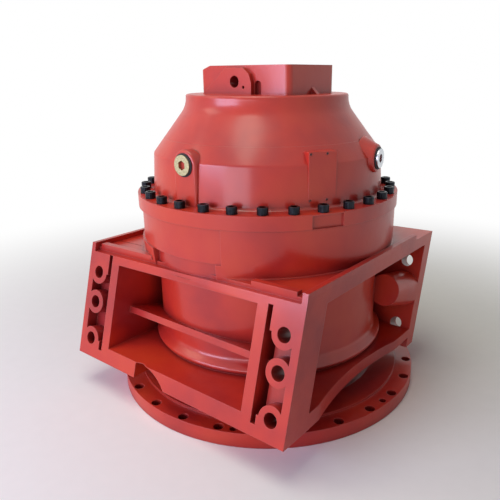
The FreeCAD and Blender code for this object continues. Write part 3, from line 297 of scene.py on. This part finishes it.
def enamel_on_cast_iron():
    """Glossy alkyd enamel sprayed over sand-cast iron: soft waves, fine orange peel, painted highlights on
    raised edges and painted shade near corners.
    """
    paint = bpy.context.scene.gearbox_enamel
    material, tree, out = blank("enamel_on_cast_iron")
    place = add(tree, "ShaderNodeTexCoord").outputs["Object"]
    # patches of thinner and thicker coat, about 140 mm wide
    clouds = add(tree, "ShaderNodeTexNoise", {"Vector": place}, Scale=7.0, Detail=3.0, Roughness=0.55)
    # the spray's dimples are drawn coarser than real ones, so that they show
    fine = add(tree, "ShaderNodeTexNoise", {"Vector": place}, Scale=1 / paint.orange_peel, Detail=2.0)
    waves = add(tree, "ShaderNodeTexNoise", {"Vector": place}, Scale=1 / paint.sand_cast, Detail=3.0,
                Roughness=0.6)
    tone = two_tones(tree, clouds.outputs["Fac"], paint.warm, paint.deep, 0.32, 0.72)
    tone.color_ramp.elements.new(0.5).color = linear(paint.base)

    # painted highlight: an edge is drawn paler where its rounded normal turns away from the true one
    sharp = add(tree, "ShaderNodeNewGeometry")
    rounded = add(tree, "ShaderNodeBevel", samples=6, Radius=paint.edge_radius)
    turn = add(tree, "ShaderNodeVectorMath", {0: rounded.outputs["Normal"], 1: sharp.outputs["Normal"]},
               operation="DOT_PRODUCT")
    edge_highlight_mask = add(tree, "ShaderNodeMapRange", {"Value": turn.outputs["Value"]},
                 From_Min=0.985, From_Max=0.86, To_Max=0.55)
    # painted shade: the paint is drawn darker within 30 mm of a corner, where shade falls
    corner = add(tree, "ShaderNodeAmbientOcclusion", samples=8, Distance=0.03)
    corner_shade_mask = add(tree, "ShaderNodeMapRange", {"Value": corner.outputs["AO"]},
                   From_Min=0.25, From_Max=0.8, To_Min=0.75, To_Max=0.0)
    corner_shaded_tone = tinted(tree, corner_shade_mask.outputs["Result"], tone.outputs["Color"], paint.painted_corner_shade)
    colour = tinted(tree, edge_highlight_mask.outputs["Result"], corner_shaded_tone, paint.edge)

    soft = add(tree, "ShaderNodeBump",
               {"Height": waves.outputs["Fac"], "Normal": rounded.outputs["Normal"]},
               Strength=0.35, Distance=0.0016)
    peel = add(tree, "ShaderNodeBump", {"Height": fine.outputs["Fac"], "Normal": soft.outputs["Normal"]},
               Strength=0.4, Distance=0.0003)
    gloss = add(tree, "ShaderNodeMapRange", {"Value": waves.outputs["Fac"]}, To_Min=0.36, To_Max=0.50)
    # a thin share of a coat with a high index gives the window's glare and leaves the sides red
    shader = add(tree, "ShaderNodeBsdfPrincipled", {
        "Base Color": colour, "Roughness": gloss.outputs["Result"], "Normal": peel.outputs["Normal"]},
        Specular_IOR_Level=0.22, Coat_Weight=0.27, Coat_IOR=2.0, Coat_Roughness=0.19)
    tree.links.new(shader.outputs["BSDF"], out.inputs["Surface"])
    return material


def worked_metal(name, light, dark, grain, roughness, metallic=1.0):
    """A metal or rubber whose tone and shine vary over a grain given in metres."""
    material, tree, out = blank(name)
    place = add(tree, "ShaderNodeTexCoord").outputs["Object"]
    mottle = add(tree, "ShaderNodeTexNoise", {"Vector": place}, Scale=1 / grain, Detail=4.0, Roughness=0.6)
    tone = two_tones(tree, mottle.outputs["Fac"], dark, light, 0.3, 0.7)
    # machined edges are broken by about half a millimetre
    rounded = add(tree, "ShaderNodeBevel", samples=4, Radius=0.0006)
    dents = add(tree, "ShaderNodeBump",
                {"Height": mottle.outputs["Fac"], "Normal": rounded.outputs["Normal"]},
                Strength=0.25, Distance=grain * 0.02)
    shine = add(tree, "ShaderNodeMapRange", {"Value": mottle.outputs["Fac"]},
                To_Min=roughness * 0.8, To_Max=roughness * 1.3)
    shader = add(tree, "ShaderNodeBsdfPrincipled", {
        "Base Color": tone.outputs["Color"], "Roughness": shine.outputs["Result"],
        "Normal": dents.outputs["Normal"]}, Metallic=metallic)
    tree.links.new(shader.outputs["BSDF"], out.inputs["Surface"])
    return material


MATERIALS = {}


def make_materials():
    """All finishes, by the record's slot names."""
    MATERIALS["red_enamel"] = enamel_on_cast_iron()
    # hot black oxide with oil: nearly black, slightly blue, satin
    MATERIALS["black_oxide"] = worked_metal("black_oxide_steel", "272B33", "0F1115", 0.004, 0.3, 0.8)
    # cylindrically ground bearing steel: bright and even
    MATERIALS["ground_steel"] = worked_metal("ground_bearing_steel", "C9CBCE", "A3A6AB", 0.003, 0.22)
    # case-hardened and shot-peened gear steel: grey satin
    MATERIALS["gear_steel"] = worked_metal("case_hardened_gear_steel", "A6A5A2", "7B7A78", 0.002, 0.36)
    # machined nodular iron: dull grey with graphite specks
    MATERIALS["cast_iron"] = worked_metal("machined_nodular_iron", "85868A", "5B5C60", 0.0025, 0.5)
    # thinly yellow-chromated zinc plating: pale straw
    MATERIALS["yellow_zinc"] = worked_metal("yellow_zinc_plated_steel", "CFC6A0", "A39B78", 0.003, 0.3)
    # clear-chromated zinc plating: silver blue
    MATERIALS["silver_zinc"] = worked_metal("clear_zinc_plated_steel", "D5D8DC", "AEB3BA", 0.003, 0.25)
    # moulded nitrile rubber: matt black
    MATERIALS["nitrile"] = worked_metal("nitrile_rubber", "26262A", "141416", 0.002, 0.7, 0.0)
    # centrifugally cast tin bronze: warm brown satin
    MATERIALS["bronze"] = worked_metal("tin_bronze", "B98B54", "8F6537", 0.003, 0.35)


# Building blocks

BODY_OF = {node: body for body, nodes in frame["record"]["behaviour"]["bodies"].items() for node in nodes}
SLOT_OF = {entry["node"]: entry["material_slot"] for entry in frame["record"]["subparts"]}


def make_piece(name, builder, slot, body, replaces=()):
    """Turns a bmesh into a finished object that rides on a body."""
    mesh = bpy.data.meshes.new(name)
    builder.to_mesh(mesh)
    builder.free()
    imported = mesh.attributes.get("custom_normal")
    if imported:
        mesh.attributes.remove(imported)
    mesh.shade_smooth()
    mesh.set_sharp_from_angle(angle=SHARP_ANGLE)
    piece = bpy.data.objects.new(name, mesh)
    bpy.context.scene.collection.objects.link(piece)
    mesh.materials.append(MATERIALS[slot])
    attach(piece, body)
    if replaces:
        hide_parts(*replaces)


def merged_copy(node):
    """The CAD node's mesh with its loose triangles joined."""
    builder = bmesh.new()
    builder.from_mesh(frame["nodes"][node].data)
    bmesh.ops.remove_doubles(builder, verts=builder.verts, dist=0.00002)
    return builder


def dressed(node):
    """A smooth-shaded stand-in of a CAD node in its own slot's finish."""
    make_piece(node + "_dressed", merged_copy(node), SLOT_OF[node], BODY_OF[node], (node,))


def join_in(builder, single):
    """Adds a finished bmesh to the one that is being built."""
    mesh = bpy.data.meshes.new("one_shape")
    single.to_mesh(mesh)
    single.free()
    builder.from_mesh(mesh)
    bpy.data.meshes.remove(mesh)


def verts_of(result):
    """The vertices that a bmesh operator made."""
    return [item for item in result["geom"] if isinstance(item, bmesh.types.BMVert)]


def edges_of(result):
    """The edges that a bmesh operator made."""
    return [item for item in result["geom"] if isinstance(item, bmesh.types.BMEdge)]


def edges_among(builder, verts):
    """The edges that join two of the vertices."""
    return [edge for edge in builder.edges if edge.verts[0] in verts and edge.verts[1] in verts]


def closed_loop(builder, places):
    """Vertices at the places and the edges that join them in a ring."""
    corners = [builder.verts.new(place) for place in places]
    edges = [builder.edges.new((corners[i], corners[(i + 1) % len(corners)])) for i in range(len(corners))]
    return corners, edges


def spun(outline, steps):
    """Turns a closed outline of (radius, height) pairs about the drum axis."""
    builder = bmesh.new()
    corners, edges = closed_loop(builder, [(radius, 0.0, height) for radius, height in outline])
    bmesh.ops.spin(builder, geom=corners + edges, cent=(0, 0, 0), axis=(0, 0, 1), angle=math.tau,
                   steps=steps, use_merge=True)
    bmesh.ops.remove_doubles(builder, verts=builder.verts, dist=0.000005)
    bmesh.ops.recalc_face_normals(builder, faces=builder.faces)
    return builder


def facing_out(angle, face, height, across=0):
    """A place on a wall about the drum axis, its own Z pointing away from the axis."""
    return (Matrix.Rotation(angle, 4, "Z") @ Matrix.Translation((face, across, height))
            @ Matrix.Rotation(math.pi / 2, 4, "Y"))


def spun_at(builder, outline, place, steps=48):
    """Adds a turned shape at a place."""
    single = spun(outline, steps)
    bmesh.ops.transform(single, matrix=place, verts=single.verts)
    join_in(builder, single)


def hollow_corner(radius, size, buried, steps=8):
    """Outline of a concave fillet on a wall, its corner buried in wall and web."""
    turns = [math.pi / 2 * step / steps for step in range(steps + 1)]
    return [(radius, -buried)] + [(radius + size * (1 - math.sin(turn)), size * (1 - math.cos(turn)))
                                  for turn in turns]


def eased_corner(before, corner, after, size, steps=6):
    """Points of a rounded edge where an outline turns left."""
    rise = math.atan2(corner[1] - before[1], corner[0] - before[0])
    lean = math.atan2(after[1] - corner[1], after[0] - corner[0])
    back = size * math.tan((lean - rise) / 2)
    middle = (corner[0] - back * math.cos(rise) - size * math.sin(rise),
              corner[1] - back * math.sin(rise) + size * math.cos(rise))
    turns = [rise + (lean - rise) * step / steps for step in range(steps + 1)]
    return [(middle[0] + size * math.sin(turn), middle[1] - size * math.cos(turn)) for turn in turns]


def cut_by(builder, tool):
    """A closed mesh less another one."""
    holders = []
    for work in (builder, tool):
        mesh = bpy.data.meshes.new("boolean_work")
        work.to_mesh(mesh)
        work.free()
        holders.append(bpy.data.objects.new("boolean_work", mesh))
        bpy.context.scene.collection.objects.link(holders[-1])
    cut = holders[0].modifiers.new("cut", "BOOLEAN")
    cut.object = holders[1]
    cut.solver = "EXACT"
    shown = holders[0].evaluated_get(bpy.context.evaluated_depsgraph_get())
    result = bmesh.new()
    result.from_mesh(shown.to_mesh())
    shown.to_mesh_clear()
    if len(result.verts) <= len(holders[0].data.vertices):
        raise RuntimeError("the Boolean cut nothing")
    # removing a mesh removes the object that shows it too
    for mesh in [holder.data for holder in holders]:
        bpy.data.meshes.remove(mesh)
    return result


# Operators

class GEARBOX_OT_castings(bpy.types.Operator):
    """Dresses the cast housing, cover, neck ring and drum flange in enamel."""

    bl_idname = "gearbox.castings"
    bl_label = "Castings"

    def execute(self, context):
        for node in ("neck_ring", "drum_flange", "hub_end_cover"):
            dressed(node)
        self.cover(context.scene.gearbox_shoulder, context.scene.gearbox_plugs)
        cove = context.scene.gearbox_cove
        left_from = -0.1
        builder = merged_copy("housing")
        # the flat top further left than that takes the web's lean
        for vert in builder.verts:
            on_top = abs(vert.co.z - cove.height) < 0.0001
            if on_top and vert.co.x < left_from and vert.co.xy.length > cove.wall:
                vert.co.z = cove.height + vert.co.x * math.tan(cove.lean)
        make_piece("housing_dressed", builder, "red_enamel", "gearcase", ("housing",))
        return {"FINISHED"}

    def cover(self, shoulder, plugs):
        """The cover with its sensor port open and its plain plug bosses sunk under the cast ones."""
        sunk_face = 0.19
        margin = 0.001
        builder = merged_copy("cover")
        for angle in (plugs.fill_angle, plugs.level_angle):
            outward = Vector((math.cos(angle), math.sin(angle), 0))
            across = Vector((-outward.y, outward.x, 0))
            for vert in builder.verts:
                on_face = vert.co.dot(outward) > plugs.upper_face - margin / 2
                on_boss = abs(vert.co.dot(across)) < shoulder.boss + margin
                if on_face and on_boss and vert.co.z > shoulder.foot_height:
                    vert.co -= outward * (plugs.upper_face - sunk_face)
        drill = bmesh.new()
        middle = (shoulder.port_from + shoulder.port_to) / 2
        place = (Matrix.Translation((shoulder.port_across, middle, shoulder.port_height))
                 @ Matrix.Rotation(math.pi / 2, 4, "X"))
        bmesh.ops.create_cone(drill, cap_ends=True, segments=48, radius1=shoulder.port,
                              radius2=shoulder.port, depth=shoulder.port_to - shoulder.port_from,
                              matrix=place)
        make_piece("cover_dressed", cut_by(builder, drill), "red_enamel", "gearcase", ("cover",))


def shoulder_band(settings):
    """The cover's wall and the foot of its cone, as a band with a crisp edge."""
    foot = (settings.foot_radius, settings.foot_height)
    corner = (settings.corner_radius, settings.corner_height)
    cone = (settings.cone_radius, settings.cone_height)
    length = math.dist(corner, cone)
    end = [corner[i] + (cone[i] - corner[i]) * settings.reach / length for i in (0, 1)]
    band = [foot] + eased_corner(foot, corner, cone, settings.rounding) + [end]
    band = [(radius + settings.proud, height + settings.proud / 2) for radius, height in band]
    # three corners inside the casting close the outline
    band += [(end[0] - 0.004, end[1] - 0.004), (corner[0] - 0.007, corner[1] - 0.006),
             (foot[0] - 0.006, foot[1])]
    return spun(band, 192)


def fill_boss(settings, plugs):
    """A soft-edged column with a round top that carries the fill plug."""
    depth = 0.018
    flare = 1.12
    edge = 0.0045
    bottom = settings.foot_height - 0.003
    turns = [math.pi * i / 24 for i in range(25)]
    arch = [(settings.boss * math.cos(turn), plugs.upper_height + settings.boss * math.sin(turn))
            for turn in turns]
    arch += [(-settings.boss, bottom), (settings.boss, bottom)]
    column = bmesh.new()
    corners = [column.verts.new((x, -plugs.upper_face, z)) for x, z in arch]
    front = bmesh.ops.contextual_create(column, geom=corners)["faces"]
    rim = list(front[0].edges)
    back = verts_of(bmesh.ops.extrude_face_region(column, geom=front, use_keep_orig=True))
    bmesh.ops.translate(column, verts=back, vec=(0, depth, 0))
    bmesh.ops.scale(column, verts=back, vec=(flare, 1, 1))
    bmesh.ops.bevel(column, geom=rim, offset=edge, segments=5, profile=0.5, affect="EDGES")
    bmesh.ops.recalc_face_normals(column, faces=column.faces)
    return column


def level_boss(settings, plugs):
    """A tapered round lump with a soft edge that carries the level plug."""
    soft = 0.004
    turns = [math.pi / 8 * i for i in (1, 2, 3, 4)]
    outline = [(ON_AXIS, -0.03), (settings.lump, -0.027), (settings.boss, -soft)]
    outline += [(settings.boss - soft * (1 - math.cos(turn)),
                 -soft * (1 - math.sin(turn))) for turn in turns]
    outline.append((ON_AXIS, 0))
    lump = bmesh.new()
    spun_at(lump, outline, facing_out(plugs.level_angle, plugs.upper_face, plugs.upper_height))
    return lump


class GEARBOX_OT_shoulder(bpy.types.Operator):
    """Adds the cover's crisp shoulder and the soft-edged bosses of the fill and level plugs."""

    bl_idname = "gearbox.shoulder"
    bl_label = "Cover shoulder"

    def execute(self, context):
        settings = context.scene.gearbox_shoulder
        plugs = context.scene.gearbox_plugs
        make_piece("cover_shoulder", shoulder_band(settings), "red_enamel", "gearcase")
        make_piece("fill_boss", fill_boss(settings, plugs), "red_enamel", "gearcase")
        make_piece("level_boss", level_boss(settings, plugs), "red_enamel", "gearcase")
        return {"FINISHED"}


def socket_screw(settings, place):
    """One socket head screw with a knurled head, chamfered rim and hexagon socket."""
    knurl_points = 36
    chamfer = settings.height * 0.1
    socket_depth = settings.height * 0.5
    builder = bmesh.new()
    ring = bmesh.ops.create_circle(builder, cap_ends=False, segments=knurl_points,
                                   radius=settings.head)["verts"]
    for vert in ring[1::2]:
        vert.co *= 1 - settings.knurl / settings.head
    rim = edges_among(builder, ring)
    raised = bmesh.ops.extrude_edge_only(builder, edges=rim)
    bmesh.ops.translate(builder, verts=verts_of(raised), vec=(0, 0, settings.height - chamfer))
    crown = bmesh.ops.extrude_edge_only(builder, edges=edges_of(raised))
    bmesh.ops.translate(builder, verts=verts_of(crown), vec=(0, 0, chamfer))
    bmesh.ops.scale(builder, verts=verts_of(crown), vec=(0.9, 0.9, 1))
    hexagon = bmesh.ops.create_circle(builder, cap_ends=False, segments=6, radius=settings.socket)["verts"]
    bmesh.ops.translate(builder, verts=hexagon, vec=(0, 0, settings.height))
    hex_edges = edges_among(builder, hexagon)
    bmesh.ops.bridge_loops(builder, edges=edges_of(crown) + hex_edges)
    walls = bmesh.ops.extrude_edge_only(builder, edges=hex_edges)
    bmesh.ops.translate(builder, verts=verts_of(walls), vec=(0, 0, -socket_depth))
    bmesh.ops.contextual_create(builder, geom=edges_of(walls))
    bmesh.ops.contextual_create(builder, geom=rim)
    bmesh.ops.transform(builder, matrix=place, verts=builder.verts)
    return builder


class GEARBOX_OT_cover_screws(bpy.types.Operator):
    """Builds the ring of socket screws on the cover's flange."""

    bl_idname = "gearbox.cover_screws"
    bl_label = "Cover screws"

    def execute(self, context):
        settings = context.scene.gearbox_screws
        seat = SCREW_BOX[1].z - settings.height
        # each screw is turned further than the last, so that their sockets stand at odds
        twist = 1.9
        builder = bmesh.new()
        for index in range(settings.count):
            angle = settings.first + math.tau * index / settings.count
            place = Matrix.Rotation(angle, 4, "Z") @ Matrix.Translation((settings.circle, 0, seat))
            join_in(builder, socket_screw(settings, place @ Matrix.Rotation(index * twist, 4, "Z")))
        bmesh.ops.recalc_face_normals(builder, faces=builder.faces)
        make_piece("cover_screw_heads", builder, "black_oxide", "gearcase", ("cover_screws",))
        return {"FINISHED"}


class GEARBOX_OT_plugs(bpy.types.Operator):
    """Dresses the oil plugs and lays a bonded washer under each."""

    bl_idname = "gearbox.plugs"
    bl_label = "Oil plugs"

    def execute(self, context):
        settings = context.scene.gearbox_plugs
        for node in ("oil_fill_plug", "oil_level_plug", "oil_drain_plug"):
            dressed(node)
        upper = (settings.upper_face, settings.upper_height, settings.washer)
        drain = (settings.drain_face, settings.drain_height, settings.drain_washer)
        fit = 0.00005
        lip = settings.thickness * 0.3
        for name, angle, (face, height, outer) in (
                ("fill", settings.fill_angle, upper), ("level", settings.level_angle, upper),
                ("drain", settings.drain_angle, drain)):
            node = f"oil_{name}_plug"
            inner = (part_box(node)[1].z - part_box(node)[0].z) / 2 + fit
            builder = bmesh.new()
            spun_at(builder, [(inner, 0), (outer, 0), (outer, settings.thickness - lip),
                              (outer - lip, settings.thickness), (inner, settings.thickness)],
                    facing_out(angle, face, height))
            make_piece(name + "_bonded_washer", builder, "nitrile", BODY_OF[node])
        return {"FINISHED"}


class GEARBOX_OT_plate_holes(bpy.types.Operator):
    """Adds the four rivet holes of the type plate's pad as painted shade, a matt black disc in each, with a
    small burr of paint round it.
    """

    bl_idname = "gearbox.plate_holes"
    bl_label = "Plate holes"

    def execute(self, context):
        settings = context.scene.gearbox_plate
        wall = context.scene.gearbox_shoulder
        size = settings.radius
        burr = [(size, 0), (size, size * 0.16), (size * 1.5, size * 0.12), (size * 1.7, 0)]
        # painted shade: a thin matt black disc in each hole stands in for the shade inside it
        painted_shade_disc = [(ON_AXIS, 0), (size, 0), (size, size * 0.04), (ON_AXIS, size * 0.04)]
        rims = bmesh.new()
        hole_shade_discs = bmesh.new()
        for side in (-1, 1):
            for height in (settings.low, settings.high):
                across = side * settings.across + settings.shift
                up = (height - wall.foot_height) / (wall.corner_height - wall.foot_height)
                taper = (wall.corner_radius - wall.foot_radius) * min(up, 1)
                radius = wall.foot_radius + taper + wall.proud
                # a low hole lies on the wall, where that stands proud of the pad
                face = max(settings.face, math.sqrt(radius ** 2 - across ** 2))
                place = facing_out(settings.angle, face, height, across)
                spun_at(rims, burr, place, 24)
                spun_at(hole_shade_discs, painted_shade_disc, place, 24)
        make_piece("plate_hole_rims", rims, "red_enamel", "gearcase")
        # the matt black discs are painted shade in the holes
        make_piece("plate_hole_painted_shade", hole_shade_discs, "nitrile", "gearcase")
        return {"FINISHED"}


class GEARBOX_OT_web_cove(bpy.types.Operator):
    """Adds the cast fillet between the housing's wall and the top web."""

    bl_idname = "gearbox.web_cove"
    bl_label = "Web fillet"

    def execute(self, context):
        settings = context.scene.gearbox_cove
        lean = Matrix.Identity(4)
        lean[2][0] = math.tan(settings.lean)
        buried = 0.001
        outline = hollow_corner(settings.wall - buried, settings.size, buried)
        builder = bmesh.new()
        for start, end in ((settings.right_start, settings.right_end),
                           (settings.left_start, settings.left_end)):
            part = bmesh.new()
            corners, loop = closed_loop(part, [(radius * math.cos(start), radius * math.sin(start), height)
                                               for radius, height in outline])
            cap = part.faces.new(corners)
            bmesh.ops.spin(part, geom=corners + loop + [cap], cent=(0, 0, 0), axis=(0, 0, 1),
                           angle=end - start, steps=48, use_duplicate=False)
            bmesh.ops.recalc_face_normals(part, faces=part.faces)
            join_in(builder, part)
        bmesh.ops.transform(builder, matrix=Matrix.Translation((0, 0, settings.height)) @ lean,
                            verts=builder.verts)
        make_piece("web_cove", builder, "red_enamel", "gearcase")
        return {"FINISHED"}


class GEARBOX_OT_inner_works(bpy.types.Operator):
    """Gives every node that is still plain, such as bearing, seals and gears, its finish."""

    bl_idname = "gearbox.inner_works"
    bl_label = "Inner works"

    def execute(self, context):
        for node, shown in frame["nodes"].items():
            if not shown.hide_render:
                dressed(node)
        return {"FINISHED"}


# name, place, point it faces, width and height, watts, colour
LAMPS = (
    ("window_softbox", (-0.65, -2.1, 0.8), (0, 0, 0.35), (1.3, 0.9), 33, "E0DAFF"),
    ("camera_side_softbox", (0.4, -2.3, 0.35), (0, 0, 0.25), (1.0, 0.6), 8, "F2ECFF"),
    ("key_softbox", (-1.6, -1.4, 1.8), (0, 0, 0.3), (0.8, 0.8), 6, "FFF0DC"),
    ("top_softbox", (-0.2, -0.5, 2.4), (0, 0, 0.3), (1.4, 1.2), 20, "FFFCEC"),
)


def soft_lamp(name, place, target, size, power, colour):
    """A rectangular area lamp that faces a point."""
    lamp = bpy.data.lights.new(name, "AREA")
    lamp.shape = "RECTANGLE"
    lamp.size, lamp.size_y = size
    lamp.energy = power
    lamp.color = linear(colour)[:3]
    holder = bpy.data.objects.new(name, lamp)
    holder.location = place
    holder.rotation_euler = (Vector(target) - Vector(place)).to_track_quat("-Z", "Y").to_euler()
    bpy.context.scene.collection.objects.link(holder)
    return holder


def seen_or_mirrored(tree):
    """One where a ray comes from the camera, a mirroring or a clear surface."""
    path = add(tree, "ShaderNodeLightPath")
    seen = add(tree, "ShaderNodeMath", {0: path.outputs["Is Camera Ray"], 1: path.outputs["Is Glossy Ray"]},
               operation="MAXIMUM")
    seen = add(tree, "ShaderNodeMath", {0: seen.outputs[0], 1: path.outputs["Is Transmission Ray"]},
               operation="MAXIMUM")
    return seen.outputs[0]


def matt_white_paper(settings):
    """Matt paper that takes the shadow near the part and fades to white further out."""
    material, tree, out = blank("matt_white_paper")
    place = add(tree, "ShaderNodeTexCoord").outputs["Object"]
    # faint fibre patches, about 25 mm wide and so coarser than real ones
    fibres = add(tree, "ShaderNodeTexNoise", {"Vector": place}, Scale=40.0)
    tone = two_tones(tree, fibres.outputs["Fac"], settings.backdrop, "F8F8F8")
    shader = add(tree, "ShaderNodeBsdfPrincipled", {"Base Color": tone.outputs["Color"]},
                 Roughness=0.9, Specular_IOR_Level=0.1)
    glow = add(tree, "ShaderNodeEmission", Strength=1.0)
    reach = add(tree, "ShaderNodeVectorMath", {0: place}, operation="LENGTH")
    far = add(tree, "ShaderNodeMapRange", {"Value": reach.outputs["Value"]},
              interpolation_type="SMOOTHSTEP", From_Min=0.42, From_Max=1.5)
    share = add(tree, "ShaderNodeMath", {0: seen_or_mirrored(tree), 1: far.outputs["Result"]},
                operation="MULTIPLY")
    mixed = add(tree, "ShaderNodeMixShader",
                {0: share.outputs[0], 1: shader.outputs[0], 2: glow.outputs[0]})
    tree.links.new(mixed.outputs[0], out.inputs["Surface"])
    return material


def paper_floor(settings):
    """The studio's round floor, half a millimetre under the drum flange."""
    floor_radius = 14.0
    gap = 0.0005
    builder = bmesh.new()
    bmesh.ops.create_circle(builder, cap_ends=True, segments=96, radius=floor_radius)
    mesh = bpy.data.meshes.new("studio_floor")
    builder.to_mesh(mesh)
    builder.free()
    floor = bpy.data.objects.new("studio_floor", mesh)
    floor.location.z = CAD_BOX[0].z - gap
    bpy.context.scene.collection.objects.link(floor)
    mesh.materials.append(matt_white_paper(settings))
    return floor


def white_room():
    """A world that looks white and lights the part softly."""
    world = bpy.data.worlds.new("studio_world")
    world.use_nodes = True
    tree = world.node_tree
    tree.nodes.clear()
    out = tree.nodes.new("ShaderNodeOutputWorld")
    light = add(tree, "ShaderNodeBackground", Color=linear("FFFFFF"), Strength=0.17)
    white = add(tree, "ShaderNodeBackground", Color=linear("FFFFFF"), Strength=1.0)
    mixed = add(tree, "ShaderNodeMixShader",
                {0: seen_or_mirrored(tree), 1: light.outputs[0], 2: white.outputs[0]})
    tree.links.new(mixed.outputs[0], out.inputs["Surface"])
    return world


def photo_camera(settings):
    """A camera at the photograph's place and angle."""
    camera = bpy.data.cameras.new("photo_camera")
    camera.lens = settings.lens
    camera.sensor_width = 36.0
    camera.shift_x = settings.shift
    camera.clip_start = 0.05
    camera.clip_end = 60.0
    holder = bpy.data.objects.new("photo_camera", camera)
    bpy.context.scene.collection.objects.link(holder)
    turned = Matrix.Rotation(settings.turn, 4, "Z")
    aim = Matrix.Rotation(math.pi / 2 - settings.pitch, 4, "X") @ Matrix.Rotation(settings.roll, 4, "Z")
    holder.matrix_world = turned @ Matrix.Translation((0, -settings.distance, settings.height)) @ aim
    return holder


class GEARBOX_OT_studio(bpy.types.Operator):
    """Sets the floor, lamps, world and camera."""

    bl_idname = "gearbox.studio"
    bl_label = "Studio"

    def execute(self, context):
        scene = context.scene
        settings = scene.gearbox_studio
        floor = paper_floor(settings)
        scene.world = white_room()
        lamps = [soft_lamp(*lamp) for lamp in LAMPS]
        scene.camera = photo_camera(settings)
        scene.view_settings.view_transform = "Standard"
        return {"FINISHED"}


class GEARBOX_PT_panel(bpy.types.Panel):
    """Lists the dressing steps and their settings."""

    bl_label = "Drum Gearbox"
    bl_idname = "GEARBOX_PT_panel"
    bl_space_type = "VIEW_3D"
    bl_region_type = "UI"
    bl_category = "Gearbox"

    def draw(self, context):
        layout = self.layout
        for name in GROUPS:
            group = getattr(context.scene, name)
            box = layout.box()
            for key in group.__annotations__:
                box.prop(group, key)
        for step in STEPS:
            layout.operator(step.bl_idname)


STEPS = (GEARBOX_OT_castings, GEARBOX_OT_shoulder, GEARBOX_OT_cover_screws, GEARBOX_OT_plugs,
         GEARBOX_OT_plate_holes, GEARBOX_OT_web_cove, GEARBOX_OT_inner_works, GEARBOX_OT_studio)
GROUPS = {"gearbox_enamel": EnamelSettings, "gearbox_screws": ScrewSettings, "gearbox_plugs": PlugSettings,
          "gearbox_shoulder": ShoulderSettings, "gearbox_plate": PlateSettings,
          "gearbox_cove": CoveSettings, "gearbox_studio": StudioSettings}
CLASSES = tuple(GROUPS.values()) + STEPS + (GEARBOX_PT_panel,)


def register():
    for cls in CLASSES:
        bpy.utils.register_class(cls)
    for name, group in GROUPS.items():
        setattr(bpy.types.Scene, name, PointerProperty(type=group))


def unregister():
    for name in GROUPS:
        delattr(bpy.types.Scene, name)
    for cls in reversed(CLASSES):
        bpy.utils.unregister_class(cls)


def main():
    register()
    make_materials()
    bpy.ops.gearbox.castings()
    bpy.ops.gearbox.shoulder()
    bpy.ops.gearbox.cover_screws()
    bpy.ops.gearbox.plugs()
    bpy.ops.gearbox.plate_holes()
    bpy.ops.gearbox.web_cove()
    bpy.ops.gearbox.inner_works()
    bpy.ops.gearbox.studio()


if __name__ == "__main__":
    main()
